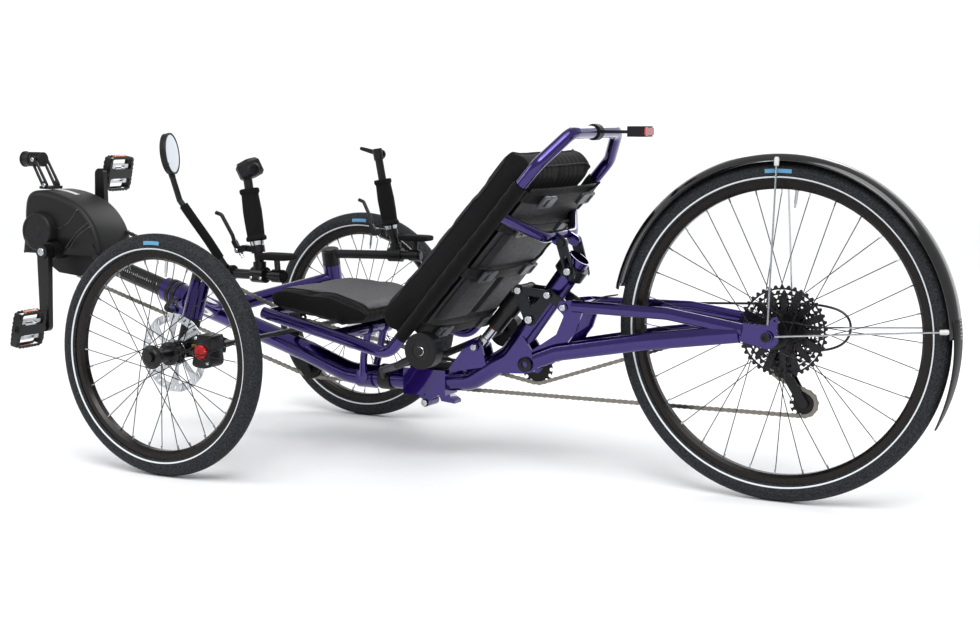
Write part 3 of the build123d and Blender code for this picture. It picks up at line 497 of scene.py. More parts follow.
def rim_details(tag, centre, R, body):
    """Thirty-two spoke nipples, and a valve stem with its cap, all pointing at the hub."""
    r0 = R - 51.5
    a = 2 * np.pi * np.arange(32) / 32
    out = np.stack([np.cos(a), np.zeros(32), np.sin(a)], 1)
    side = np.stack([-np.sin(a), np.zeros(32), np.cos(a)], 1)
    turns = np.stack([side, np.broadcast_to([0.0, 1.0, 0.0], (32, 3)), out], -1)
    nipple = turned((0, 0, 0), (0, 0, -1), [(0, 0), (0, 2.0), (8, 1.7), (9, 1.2), (9, 0)], 8)
    y = np.where(np.arange(32) % 2 == 0, 3.2, -3.2)
    places = np.asarray(centre) + out * r0 + np.stack([y * 0, y, y * 0], 1)
    valve_a = np.radians(96.0)
    d = np.array([np.cos(valve_a), 0.0, np.sin(valve_a)])
    foot = np.asarray(centre) + d * (r0 + 1)
    stem = [(0, 0), (0, 4.5), (3, 4.5), (3, 3), (26, 3), (26, 2), (34, 2), (34, 0)]
    valve = turned(foot, foot - d, stem, 12)
    piece(f"nipples_{tag}", body, SILVER, copies(nipple, places, turns), valve)


for tag, (centre, R, body, side) in WHEELS.items():
    tyre("tread_" + tag, centre, R, body)
    rim_details(tag, centre, R, body)


def disc(centre, y, side):
    """A brake disc: a wavy band with slots, on eight slanting arms."""
    a = np.linspace(0, 2 * np.pi, 192, endpoint=False)
    outline = polar(80 - 1.1 * (0.5 + 0.5 * np.cos(16 * a)), a)
    holes = []
    for k in range(8):
        s = np.linspace(0, 1, 12)
        a0, a1 = 2 * np.pi * k / 8 + 0.13, 2 * np.pi * (k + 1) / 8 - 0.13
        top, low = a0 + (a1 - a0) * s, a1 + (a0 - a1) * s
        holes.append(np.vstack([polar(63, top), polar(27, low - 0.22)]))
    for k in range(32):
        c, lean = 2 * np.pi * k / 32, 0.5
        d = np.array([np.cos(c + lean), np.sin(c + lean)])
        m = 71.5 * np.array([np.cos(c), np.sin(c)])
        w = np.array([-d[1], d[0]])
        h = np.linspace(0, np.pi, 7)
        ends = [m + d * 3.4 + 1.5 * (np.cos(t) * w + np.sin(t) * d) for t in h]
        ends += [m - d * 3.4 - 1.5 * (np.cos(t) * w + np.sin(t) * d) for t in h]
        holes.append(np.array(ends))
    holes.append(circle(16, 40))
    return cut_plate(outline, holes, (centre[0], centre[2]), side * y - 0.9, side * y + 0.9)


for tag, side in (("left", 1), ("right", -1)):
    body = f"{tag}_wheel"
    c = np.array([1149.0, 0.0, 243.0])
    shell = turned(c + [0, side * 331, 0], c + [0, side * 332, 0],
                   [(0, 6.1), (0, 14), (4, 16), (20, 16), (22, 24), (26, 24), (29, 17), (42, 14.5), (58, 16),
                    (75, 17), (76, 24), (79, 24), (80, 20), (84, 16), (84, 6.1)], 48, hollow=True)
    piece(f"hub_shell_{tag}", body, ANODISED, shell, replaces=(f"front_{tag}_hub",))
    piece(f"brake_disc_{tag}", body, SILVER, disc(c, 337, side))
    ring = [bolt((1149 + 21 * math.cos(a), 243 + 21 * math.sin(a)), side * 338, 2.6, 2.2, side)
            for a in (2 * math.pi * k / 6 for k in range(6))]
    piece(f"disc_bolts_{tag}", body, BLACK_STEEL, *ring)
    knuckle = f"{tag}_knuckle"
    knob = turned((1067, side * 355, 252), (1067, side * 356, 252),
                  [(0, 0), (0, 15), (6, 15), (7.5, 13.2), (7.5, 6), (6.4, 5), (6.4, 0)], 72, 18, 1.3)
    cheek = slab(smooth_line([(-21, -4), (-23.5, -30), (-12, -33), (20, -31), (24, -12), (22, 10), (25, 28),
                              (10, 33), (-12, 32), (-24, 22), (-21, -4)], 6)[:-1],
                 (1069, side * 332, 252), (0, side, 0), 44, edge=3.5, side=(1, 0, 0))
    dome = turned((1067, side * 350, 252), (1067, side * 351, 252),
                  [(0, 0), (0, 20), (3.5, 19), (5, 17), (5, 0)], 40)
    piece(f"caliper_body_{tag}", knuckle, ANODISED, cheek, dome, angle=40)
    piece(f"pad_adjuster_{tag}", knuckle, RED, knob)

# ---------------------------------------------------------------- cassette
def cog(teeth, y):
    """A sprocket 2 mm thick: its rim's radius is P + 2.7 (1.5 sin(n f)), cut off at -1 and 0.9, for pitch
    radius P = 6.35 / sin(pi / n). The larger ones are pierced by a ring of eight windows."""
    pitch = 6.35 / math.sin(math.pi / teeth)
    f = np.linspace(0, 2 * np.pi, teeth * 10, endpoint=False)
    rim = polar(pitch + 2.7 * np.clip(1.5 * np.sin(teeth * f), -1, 0.9), f)
    windows = []
    band, core_r = 6, 24
    room = pitch - band - core_r
    for k in range(8 if room > 12 else 0):
        mid = 2 * np.pi * (k + 0.5 * (teeth % 2)) / 8
        windows.append(np.vstack([polar(pitch - band, mid + np.linspace(-0.30, 0.30, 9)),
                                  polar(core_r + 0.25 * room, mid + np.linspace(0.22, -0.22, 7))]))
    return cut_plate(rim, windows, (0, 319.5), y - 1, y + 1)


core = turned((0, -60, 319.5), (0, -20, 319.5), [(0, 16.1), (0, 22), (40, 22), (40, 16.1)], 40, hollow=True)
COGS = (11, 13, 15, 18, 21, 24, 28, 32, 37, 42)
sprockets = [cog(n, -50 + (k - 2) * 4.0) for k, n in enumerate(COGS)]
piece("cassette_cogs", "cogs", BLACK_STEEL, core, *sprockets, replaces=("cassette",), angle=30)

# ---------------------------------------------------------------- chain
def chain_line():
    """The chain's pitch line as points 12.7 mm apart: tangents between its wheels, and arcs round them."""
    r = {t: 12.7 / (2 * math.sin(math.pi / t)) for t in (38, 15, 12)}
    wheels = [(1706, 405, r[38], 1), (1110, 303, r[15], -1), (525, 205, r[15], -1), (0, 319.5, r[15], 1),
              (5, 248, r[12], -1), (-36, 181, r[12], 1), (1080, 165, 21.0, 1)]
    ends = []
    for (x0, z0, r0, t0), (x1, z1, r1, t1) in zip(wheels, wheels[1:] + wheels[:1]):
        d, base = math.hypot(x1 - x0, z1 - z0), math.atan2(z1 - z0, x1 - x0)
        a = base - math.pi / 2 + math.asin((t0 * r0 - t1 * r1) / d)
        ends.append(((x0 + math.cos(a) * r0 * t0, z0 + math.sin(a) * r0 * t0),
                     (x1 + math.cos(a) * r1 * t1, z1 + math.sin(a) * r1 * t1)))
    line = []
    for k, (x, z, radius, way) in enumerate(wheels):
        s, e = ends[k - 1][1], ends[k][0]
        a0 = math.atan2(s[1] - z, s[0] - x)
        span = (math.atan2(e[1] - z, e[0] - x) - a0) * way % (2 * math.pi)
        a = a0 + way * np.linspace(0, span, max(3, int(span * radius / 1.5)))
        line.append(np.stack([x + radius * np.cos(a), z + radius * np.sin(a)], 1))
    line = np.vstack(line + [line[0][:1]])
    far = np.r_[0, np.cumsum(np.linalg.norm(np.diff(line, axis=0), axis=1))]
    count = 2 * round(far[-1] / 25.4)
    at = np.linspace(0, far[-1], count, endpoint=False)
    return np.stack([np.interp(at, far, line[:, 0]), np.interp(at, far, line[:, 1])], 1)


def link_plates(half, thick, reach, waist):
    """One link about its middle: two waisted side plates, half apart each way from the chain's plane."""
    a = np.linspace(-np.pi / 2, np.pi / 2, 5)
    right = np.stack([6.35 + reach * np.cos(a), reach * np.sin(a)], 1)
    outline = np.vstack([right, [[0, waist]], -right, [[0, -waist]]])
    shapes = []
    for s in (-1, 1):
        points = np.array([[[x, s * half + d, z] for x, z in outline] for d in (-thick / 2, thick / 2)])
        p, f = net(points, round_v=True)
        m = len(outline)
        shapes.append((p, f + [list(range(m)), [m + k for k in range(m)]]))
    return join(*shapes)


pins = chain_line()
mid = (pins + np.roll(pins, -1, 0)) / 2
along = np.roll(pins, -1, 0) - pins
along /= np.linalg.norm(along, axis=1)[:, None]
turns = np.zeros((len(mid), 3, 3))
turns[:, 0, 0], turns[:, 2, 0] = along[:, 0], along[:, 1]
turns[:, 1, 1] = 1.0
turns[:, 0, 2], turns[:, 2, 2] = -along[:, 1], along[:, 0]
middles = np.stack([mid[:, 0], np.full(len(mid), -50.0), mid[:, 1]], 1)
upper = mid[:, 1] > 235
behind = mid[:, 0] < 440
PARTS = {  # which links, then two bodies and two points that nothing below uses
    "chain_front": (mid[:, 0] > 1120, "front_frame", "boom", (1240, 0, 300), (1420, 0, 300)),
    "chain_middle": ((mid[:, 0] <= 1120) & (mid[:, 0] > 590), "front_frame", "rear_section",
                     (800, 0, 170), (700, 0, 170)),
    "chain_rear": ((mid[:, 0] <= 590) & ~(behind & ~upper), "rear_section", "swing",
                   (560, 0, 220), (450, 0, 220)),
    "chain_return": (behind & ~upper, "swing", "cage", (380, 0, 181), (-8, 0, 181)),
}
outer_link, inner_link = link_plates(2.55, 0.9, 4.3, 3.1), link_plates(1.75, 0.8, 4.2, 3.0)
roller = turned((-6.35, -1.7, 0), (-6.35, 1.7, 0), [(0, 0), (0, 3.4), (3.4, 3.4), (3.4, 0)], 8)
rivet = turned((-6.35, -3.3, 0), (-6.35, 3.3, 0), [(0, 0), (0, 1.7), (6.6, 1.7), (6.6, 0)], 8)
even = np.arange(len(mid)) % 2 == 0
for name, (chosen, a, b, s, e) in PARTS.items():
    kinds = ((outer_link, even), (inner_link, ~even), (roller, chosen), (rivet, chosen))
    shapes = [copies(shape, middles[chosen & which], turns[chosen & which]) for shape, which in kinds]
    made = piece(name, None, STEEL, *shapes, ride=False, angle=30,
                 replaces=("chain",) if name == "chain_front" else ())
    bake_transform(made)

# ---------------------------------------------------------------- shift cable
def cable(name, route, body, r, material, replaces=()):
    """A free cable on one smooth NURBS line with the route's points as its control points."""
    curve = bpy.data.curves.new(name, "CURVE")
    curve.dimensions, curve.bevel_depth, curve.bevel_resolution = "3D", r / 1000, 4
    curve.use_fill_caps = True
    spline = curve.splines.new("NURBS")
    spline.points.add(len(route) - 1)
    spline.points.foreach_set("co", np.c_[row(route), np.ones(len(route))].ravel())
    spline.order_u = 3
    spline.use_endpoint_u = True
    spline.resolution_u = 10
    curve.materials.append(material)
    made = linked(name, curve)
    if replaces:
        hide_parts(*replaces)
    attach(made, body)
    return made


cable("shift_cable_loop", [(1.6, -76, 276), (-60, -80, 276), (-112, -84, 300), (-112, -84, 352),
                           (-50, -84, 369), (60, -84, 362), (200, -78, 356)],
      "swing", 2.5, GLOSS, ("shift_cable",))


# ---------------------------------------------------------------- seat
def on_back(s, y, d):
    """Points s up the back, y to the left and d in front of the rails' line."""
    s, y, d = np.broadcast_arrays(np.asarray(s, float), np.asarray(y, float), np.asarray(d, float))
    p = BACK_FOOT + s[..., None] * BACK_UP + d[..., None] * BACK_OUT
    p[..., 1] += y
    return p


def stuffed(name, node, material, voxel, cap, shrink, shape=None):
    """A stuffed cushion: the CAD solid's copy, drawn in, remeshed, swelled by pressure as cloth, with no
    point let further than cap from its start, then subdivided once."""
    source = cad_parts[node].data
    co = corners(source)
    centre = (co.min(0) + co.max(0)) / 2
    half = (co.max(0) - co.min(0)) / 2
    co = centre + (co - centre) * (1 - shrink / 1000 / half)
    if shape:
        co = shape(co)
    mesh = bpy.data.meshes.new(name)
    mesh.from_pydata(co, [], [list(p.vertices) for p in source.polygons])
    work = bmesh.new()
    work.from_mesh(mesh)
    bmesh.ops.remove_doubles(work, verts=work.verts, dist=1e-5)
    work.to_mesh(mesh)
    work.free()
    made = linked(name, mesh)
    bpy.context.view_layer.objects.active = made

    def applied():
        dg = bpy.context.evaluated_depsgraph_get()
        return bpy.data.meshes.new_from_object(made.evaluated_get(dg), depsgraph=dg)

    remesh = made.modifiers.new("remesh", "REMESH")
    remesh.mode, remesh.voxel_size = "VOXEL", voxel / 1000
    soften = made.modifiers.new("soften", "SMOOTH")
    soften.factor, soften.iterations = 0.5, 10
    fresh = applied()
    made.modifiers.clear()
    made.data = fresh
    cloth = made.modifiers.new("cloth", "CLOTH")
    cloth.settings.use_pressure = True
    cloth.settings.uniform_pressure_force = 4.0
    cloth.settings.effector_weights.gravity = 0.0
    cloth.settings.quality = 5
    for step in range(1, 21):
        bpy.context.scene.frame_set(step)
    swelled = applied()
    made.modifiers.clear()
    bpy.context.scene.frame_set(1)
    rest = corners(fresh)
    step = corners(swelled) - rest
    far = np.linalg.norm(step, axis=1)[:, None]
    step *= np.minimum(1.0, cap / 1000 / np.maximum(far, 1e-9))
    fresh.vertices.foreach_set("co", (rest + step).ravel())
    fresh.update()
    again = made.modifiers.new("finer", "SUBSURF")
    again.levels = again.render_levels = 1
    made.data = applied()
    made.modifiers.clear()
    made.data.shade_smooth()
    made.data.materials.clear()
    made.data.materials.append(material)
    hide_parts(node)
    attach(made, "seat")
    return made


def snapped(made, line, lift=0.6):
    """A line laid on a piece's surface: each point's nearest place there, lifted off it a little."""
    tree = BVHTree.FromObject(made, bpy.context.evaluated_depsgraph_get())
    found = [tree.find_nearest(Vector(p)) for p in row(line)]
    return np.array([(f[0] + f[1] * lift / 1000) for f in found]) * 1000 + ORIGIN


def rounded_top(co):
    """The back narrows near its top: y is drawn in by up to a fifth over the last 90 mm, as a quarter
    circle."""
    up = (co - row(BACK_FOOT)) @ BACK_UP * 1000
    near = np.clip((up - 405) / 90, 0, 1)
    co = co.copy()
    co[:, 1] *= 1 - 0.22 * (1 - np.sqrt(1 - 0.96 * near ** 2))
    return co


back = stuffed("back_pad", "back_cushion", MESH, 6.0, 9.0, 7.0, rounded_top)
base = stuffed("base_pad", "seat_cushion", MESH, 5.0, 7.0, 5.0)

for label, made, d in (("front", back, 70), ("rear", back, 13)):
    path = ((30, 158), (250, 162), (430, 158), (486, 120), (490, 0), (486, -120), (430, -158), (250, -162),
            (30, -158))
    ring = smooth_line([on_back(s, y, d) for s, y in path])
    piece(f"back_piping_{label}", "seat", WEBBING, carried(snapped(made, ring), circle(1.8, 8)))

top_edge = [(812, 322), (905, 352), (1040, 359), (1060, 352)]
for tag, side in (("left", 1), ("right", -1)):
    seam = smooth_line([(x, side * 143, z + 2) for x, z in top_edge])
    piece(f"base_piping_{tag}", "seat", WEBBING, carried(snapped(base, seam), circle(1.8, 8)))

s, y = np.linspace(0, 1, 40), np.linspace(-118, 118, 48)
lie_x = np.interp(s, [0, 0.4, 1], [822, 905, 1046])
flat_z = np.interp(s, [0, 0.4, 1], [328, 356, 362])
top = np.stack([np.broadcast_to(lie_x[:, None], (40, 48)), np.broadcast_to(y[None], (40, 48)),
                np.broadcast_to(flat_z[:, None], (40, 48))], -1)
laid = snapped(base, top.reshape(-1, 3), 1.0).reshape(40, 48, 3)
thickened(piece("base_top_panel", "seat", TOPCLOTH, net(laid)), 0.0009, 1.0)

# Rear fabric: a laced sheet behind the rails, two flat pockets on it, and straps with side-release buckles.
s, y = np.meshgrid(np.linspace(60, 455, 60), np.linspace(-149, 149, 60), indexing="ij")
sag = -16 - 2.0 * np.cos(y / 149 * np.pi / 2) - 0.5 * np.sin(s / 21) * np.cos(y / 60)
sheet = piece("rear_sheet", "seat", NYLON, net(on_back(s, y, sag)),
              replaces=("back_panel",), angle=80)


def pocket(s0, s1, y0, y1, high):
    """A flat pocket: a plate of height h ((1 - a^8)(1 - b^8))^(1/4), for a and b from -1 to 1 across it."""
    a, b = np.linspace(-1, 1, 24), np.linspace(-1, 1, 24)
    a, b = np.meshgrid(a, b, indexing="ij")
    swell = ((1 - a ** 8) * (1 - b ** 8)) ** 0.25
    s, y = (s0 + s1) / 2 + a * (s1 - s0) / 2, (y0 + y1) / 2 + b * (y1 - y0) / 2
    outer = net(on_back(s, y, -18.6 - high * swell))
    inner = net(on_back(s, y, -18.5 + 0 * s))
    return join(outer, (inner[0], [face[::-1] for face in inner[1]]))


piece("rear_pockets", "seat", NYLON, pocket(110, 225, -132, -8, 12), pocket(110, 225, 8, 132, 12),
      pocket(250, 345, -120, 120, 9), angle=60)
straps, clips = [], []
for s0 in (85, 238, 360, 435):
    over = ((-158, -10), (-146, -20), (-60, -33), (60, -33), (146, -20), (158, -10))
    line = smooth_line([on_back(s0, y, d) for y, d in over])
    straps.append(carried(line, oblong(1.6, 24, 0.7), across=BACK_OUT))
    for y in (-75, 75):
        centre = on_back(s0, y, -35.5)
        o = np.sign(y)
        clips.append(slab(oblong(30, 28, 5), centre, BACK_OUT, 7, edge=1.6, side=(0, 1, 0)))
        for across_by in (-11.5, 11.5):
            prong = centre + (0, 24 * o, 0) + BACK_UP * across_by
            clips.append(slab(oblong(24, 5.5, 2.4), prong, BACK_OUT, 5.5, edge=1.2, side=(0, 1, 0)))
        clips.append(slab(oblong(7, 29, 3), centre + (0, 36 * o, 0), BACK_OUT, 6, edge=1.4, side=(0, 1, 0)))
        clips.append(slab(oblong(5, 24, 2), centre + (0, 24 * o, 0), BACK_OUT, 3, edge=0.8, side=(0, 1, 0)))
piece("rear_straps", "seat", WEBBING, *straps)
piece("strap_buckles", "seat", BUCKLE, *clips)

# Sleeves round the rails: a tube whose radius ripples along and round it, gathered tighter at its ends.
for tag, side in (("left", 1), ("right", -1)):
    n = 210
    far = np.linspace(44, 452, n)
    line = on_back(far, np.full(n, side * 168.0), np.zeros(n))
    f = np.linspace(0, 2 * np.pi, 28, endpoint=False)
    loose = np.clip((far - 105) / 50, 0, 1)[:, None]
    ripple = 12.6 + loose * (1.8 + 0.7 * np.sin(far / 5.5)[:, None] * np.cos(3 * f)[None]
                             + 0.5 * np.sin(far / 31)[:, None])
    e, u, v = beside(BACK_UP)
    points = line[:, None] + ripple[..., None] * (u * np.cos(f)[:, None] + v * np.sin(f)[:, None])
    piece(f"rail_sleeve_{tag}", "seat", MESH, net(points, round_v=True), angle=70)

# ---------------------------------------------------------------- grips and wrist pads
GRIP_LOW, GRIP_TOP = np.array([1001.0, 257.0, 469.0]), np.array([1020.0, 254.0, 572.0])
long = float(np.linalg.norm(GRIP_TOP - GRIP_LOW))
flared = [(0, 9.2), (0, 18.5), (2, 20.6), (7, 20.4), (11, 17.6), (35, 18.6), (60, 19), (long - 12, 17.2),
          (long - 8, 19.8), (long - 2, 20), (long, 18), (long, 9.2)]
foam = turned(GRIP_LOW, GRIP_TOP, flared, 48, hollow=True)
collar = turned(GRIP_LOW, GRIP_TOP, [(-9, 9.2), (-9, 13), (-1, 14.5), (-0.2, 13.5), (-0.2, 9.2)], 40,
                hollow=True)
a, b = np.meshgrid(np.linspace(-np.pi / 2, np.pi / 2, 20), np.linspace(0, 2 * np.pi, 60, endpoint=False),
                   indexing="ij")


def power(x, p):
    """The power of x's size, with its sign kept."""
    return np.sign(x) * np.abs(x) ** p


# A superellipsoid, 76 by 48 by 14 mm: p = (A cos^q a cos^q b, B cos^q a sin^q b, C sin^q a).
rest = np.stack([943 + 38 * power(np.cos(a), 0.35) * power(np.cos(b), 0.4),
                 271 + 24 * power(np.cos(a), 0.35) * power(np.sin(b), 0.4),
                 441 + 7 * power(np.sin(a), 0.5)], -1)
for tag, side in (("left", 1), ("right", -1)):
    keep = (lambda shape: shape) if side > 0 else mirrored
    body = f"{tag}_knuckle"
    grip = piece(f"foam_grip_{tag}", body, FOAM, keep(foam), replaces=(f"grip_{tag}",))
    pad = piece(f"wrist_pad_{tag}", body, FOAM, keep(net(rest, round_v=True)), angle=60)
    piece(f"grip_collar_{tag}", body, SILVER, keep(collar))

# ---------------------------------------------------------------- motor cover, its disc and the lamp bracket
LINE = np.array([(1584, 388), (1580, 412), (1600, 466), (1640, 508), (1700, 533), (1762, 541), (1792, 530),
                 (1803, 495), (1803, 440), (1799, 398)], float)


def cover():
    """A shell open below. Each ring is the profile at one y: up the left wall from its foot, round an edge
    of radius 14, over the top, round the right edge and down. At the angle q of the edge, a ring lies
    14 (1 - cos q) inside the profile."""
    rim = smooth_line(LINE, 10)
    along_rim = np.gradient(rim, axis=0)
    along_rim /= np.linalg.norm(along_rim, axis=1)[:, None]
    inward = np.stack([along_rim[:, 1], -along_rim[:, 0]], 1)
    foot = np.stack([rim[:, 0], np.minimum(rim[:, 1], 396.0)], 1)
    edge, left, right = 14.0, 60.0, -63.0
    drawn = rim + inward * edge
    drawn[:, 1] = np.maximum(drawn[:, 1], foot[:, 1])
    rings = [np.c_[foot * s + drawn * (1 - s), np.full(len(rim), left)][:, [0, 2, 1]] for s in (1, 0.6, 0.25)]
    for q in np.radians(np.linspace(90, 0, 7)):
        inset = edge * (1 - math.cos(q))
        p = rim + inward * inset
        p[:, 1] = np.maximum(p[:, 1], foot[:, 1])
        rings.append(np.c_[p[:, 0], np.full(len(rim), left - edge + edge * math.sin(q)), p[:, 1]])
    mirror_rings = [r * [1, -1, 1] + [0, left + right, 0] for r in rings[::-1]]
    return net(np.array(rings + mirror_rings))


case = piece("motor_cover", "boom", MOULDED, cover(), slot="black_plastic", replaces=("chain_cover",),
             angle=50)
thickened(case, 0.002, -1.0)
ribs = [carried(smooth_line([(x, 60.2, z) for x, z in run]), circle(1.3, 8))
        for run in ([(1606, 462), (1640, 440), (1672, 404)], [(1640, 500), (1668, 470), (1706, 452)],
                    [(1612, 470), (1644, 448), (1678, 412)])]
piece("cover_ribs", "boom", GLOSS, *ribs)
strip = smooth_line([(1690, 0, 530.5), (1726, 0, 538.5), (1764, 0, 541.8)])
piece("cover_strip", "boom", PALE, carried(strip, oblong(14, 1.6, 0.7), across=(0, 1, 0)))
piece("motor_disc", "boom", MOULDED,
      turned((1750, 58, 447), (1750, 59, 447), [(0, 0), (0, 47), (4, 46), (15, 43.5), (19, 42), (20.6, 40),
                                                (20.6, 37), (19, 35.5), (19, 13), (19.8, 12), (19.8, 0)], 72),
      slot="black_plastic")
a = np.linspace(0, np.pi, 12)
x0, z0, x1, z1 = 1772.0, 551.0, 1806.0, 610.0
d = np.array([x1 - x0, z1 - z0]) / math.hypot(x1 - x0, z1 - z0)
w = np.array([-d[1], d[0]])


def strap(r0, r1, cut):
    """A strap's outline between the bracket's bolts: a half circle at each end, cut short of the bolts."""
    arc = np.cos(a)[:, None] * w + np.sin(a)[:, None] * d
    return np.vstack([np.array([x0, z0]) + d * cut - r0 * arc, np.array([x1, z1]) - d * cut + r1 * arc])


strut = cut_plate(strap(9, 8, 0), [strap(2.6, 2.6, 12)], (0, 0), 18, 21.5)
piece("lamp_bracket", "boom", ANODISED, pair(strut),
      turned((1806, -21.5, 610), (1806, 21.5, 610), [(0, 0), (0, 4), (43, 4), (43, 0)], 20),
      carried(np.array([(1756, 0, 545.5), (1788, 0, 545.5)]), oblong(43, 7, 2), across=(0, 1, 0)), angle=30)


def on_boom(x):
    """The height of the boom's middle line."""
    return 284 + 0.3 * (x - 1303)


ticks, lean, skin_r = [], 0.35, 21.1
for k in range(26):
    x = 1450 + 5.5 * k
    high = 7.0 if k % 5 == 0 else 4.0
    at = (x, skin_r * math.cos(lean), on_boom(x) + skin_r * math.sin(lean) + high / 4)
    ticks.append(slab(oblong(0.8, high, 0.3), at, (0, math.cos(lean), math.sin(lean)), 0.4, edge=0.1,
                      side=(1, 0, 0)))
piece("boom_scale", "boom", PALE, *ticks)
bands = [turned((x, 0, on_boom(x)), (x + 1, 0, on_boom(x + 1)),
                [(0, 27.6), (0, 29.2), (9, 29.2), (9, 27.6)], 48, hollow=True) for x in (1397, 1413)]
arm = carried(smooth_line([(1405, 16, 276), (1418, 27, 284), (1402, 32, 300), (1380, 32, 306)]),
              oblong(5, 10, 2), across=(0, 1, 0))
piece("clamp_bands", "front_frame", ANODISED, *bands, arm)

# ---------------------------------------------------------------- pedals
TURN = math.radians(78.0)
U, W = np.array([math.cos(TURN), 0, -math.sin(TURN)]), np.array([math.sin(TURN), 0, math.cos(TURN)])


def pedal_parts(centre, side):
    """A cage with a toothed edge and two windows, cut from plate, on a barrel, with a bright middle body. Its
    edge is the superellipse |x|^7 + |y|^7 = r^7, where r steps by 0.8 mm for the teeth."""
    q = np.linspace(0, 2 * np.pi, 120, endpoint=False)
    lobe = (np.abs(np.cos(q)) ** 7 + np.abs(np.sin(q)) ** 7) ** (-1 / 7)
    rim = polar((41.2 + 0.8 * np.sign(np.cos(30 * q))) * lobe, q)
    windows = [oblong(24, 68, 5) + [s * 23.5, 0] for s in (-1, 1)]

    def placed(shape):
        p, f = shape
        return centre + p[:, :1] * U + p[:, 2:] * [0, 1, 0] + p[:, 1:2] * W, f

    cages = [placed(cut_plate(rim, windows, (0, 0), y, y + 3)) for y in (-11, 8)]
    cheeks = [placed(cut_plate(oblong(78, 5, 2) + [0, e], [], (0, 0), -9, 9)) for e in (-38.5, 38.5)]
    slots = [oblong(9, 36, 3) + [s * 15, 0] for s in (-1, 1)]
    body = placed(cut_plate(oblong(46, 62, 6), slots, (0, 0), -6, 6))
    sleeve = [(0, 4.6), (0, 10), (4, 10.6), (10, 9), (60, 9), (84, 10), (90, 9), (90, 4.6)]
    barrel = turned(centre - [0, 46 * side, 0], centre, sleeve, 32, hollow=True)
    lamps = [placed(cut_plate(oblong(3, 40, 1) + [s * 41, 0], [], (0, 0), -5, 5)) for s in (-1, 1)]
    return join(*cages, *cheeks, barrel), body, join(*lamps)


for tag, side, z in (("left", 1, 235.0), ("right", -1, 575.0)):
    pedal = f"{tag}_pedal"
    cage, plate, lamps = pedal_parts(np.array([1706.0, side * 158.0, z]), side)
    piece(f"pedal_cage_{tag}", pedal, ANODISED, cage, replaces=(f"pedal_{tag}",), angle=30)
    piece(f"pedal_body_{tag}", pedal, SILVER, plate, angle=30)
    piece(f"pedal_reflectors_{tag}", pedal, AMBER, lamps, angle=30)
    piece(f"crank_bolt_{tag}", "crankset", SILVER, bolt((1706, 405), side * 110, 9, 3, side))

# ---------------------------------------------------------------- controls on the handles
BAR = (GRIP_TOP - GRIP_LOW) / long
con = GRIP_TOP + BAR * 38
hexagon = np.array([(-25, -8), (-14, -26), (10, -28), (22, -12), (22, 12), (8, 26), (-18, 20)], float)
LEAN = (0.42, 0.12, 0.9)
shell = slab(hexagon, con + [-3, -6, 1], LEAN, 35, edge=6.0, side=(0.9, 0, -0.42))
eye = turned(con + [-22, 6, 2], con + [-23, 6.6, 2],
             [(-8, 0), (-8, 13.5), (2, 13), (5, 11), (5, 7.5), (1, 6.5), (1, 0)], 32)
piece("controller_body", "left_knuckle", MOULDED, shell, eye, replaces=("controller",))
piece("controller_display", "left_knuckle", DISPLAY,
      slab(oblong(30, 34, 5), np.array(con) + [-3, -6, 1] + 17.8 * np.array(LEAN), LEAN, 1.8, edge=0.6,
           side=(0.9, 0, -0.42)))
perch = GRIP_LOW - BAR * 17
for tag, side in (("left", 1), ("right", -1)):
    keep = (lambda shape: shape) if side > 0 else mirrored
    piv = np.array([1043.0, perch[1] + 3, 449.0])
    knurled = [(0, 0), (0, 4.6), (5, 4.6), (6, 3.4), (12, 3.4), (12, 0)]
    barrel = turned(piv + [-4, 0, -4], piv + [-4.6, 0, -5], knurled, 24, 10, 0.5)
    head = bolt((piv[0], piv[2]), piv[1] + 8.5, 4.2, 2.4)
    piece(f"barrel_adjuster_{tag}", f"{tag}_knuckle", SILVER, keep(barrel), keep(head))
    clamp_bolts = [bolt((x, 397), 278, 3.2, 2.6) for x in (978, 1001)]
    piece(f"tee_bolts_{tag}", f"{tag}_knuckle", SILVER, *[keep(s) for s in clamp_bolts])
    strip = slab(oblong(13, 5, 1.5), (1086, 354.4, 264), (0, 1, 0), 1.4, edge=0.3, side=(1, 0, 0))
    piece(f"pad_spring_{tag}", f"{tag}_knuckle", GOLD, keep(strip))
    heads = [bolt((x, z), 353, 3.6, 3) for x, z in ((1054, 230), (1082, 279))]
    piece(f"caliper_bolts_{tag}", f"{tag}_knuckle", SILVER, *[keep(s) for s in heads])

stem = smooth_line([(1082, 272, 432), (1095, 291, 468), (1120, 301, 506), (1142, 308, 538)], 10)
piece("mirror_arm_sleeve", "left_knuckle", FOAM, carried(stem, circle(9.2, 20)))

# ---------------------------------------------------------------- pivots, derailleur and small bolts
cap = turned((507, 46, 227), (507, 47, 227), [(0, 6.2), (0, 15), (2, 15), (3, 13), (3, 6.2)], 48,
             hollow=True)
piece("swing_pivot_caps", "swing", BLACK_STEEL, pair(cap))
mech = [turned((14, -81.2, 262), (14, -82, 262), [(0, 0), (0, 11), (3, 10), (3, 6), (1.5, 5), (1.5, 0)], 28),
        turned((5, -81.2, 248), (5, -82, 248), [(0, 0), (0, 13), (4, 12), (4, 7), (2, 6), (2, 0)], 28)]
piece("derailleur_caps", "swing", BLACK_STEEL, *mech)
piece("derailleur_bolts", "swing", SILVER, bolt((10, 284), -81, 5, 3, -1))

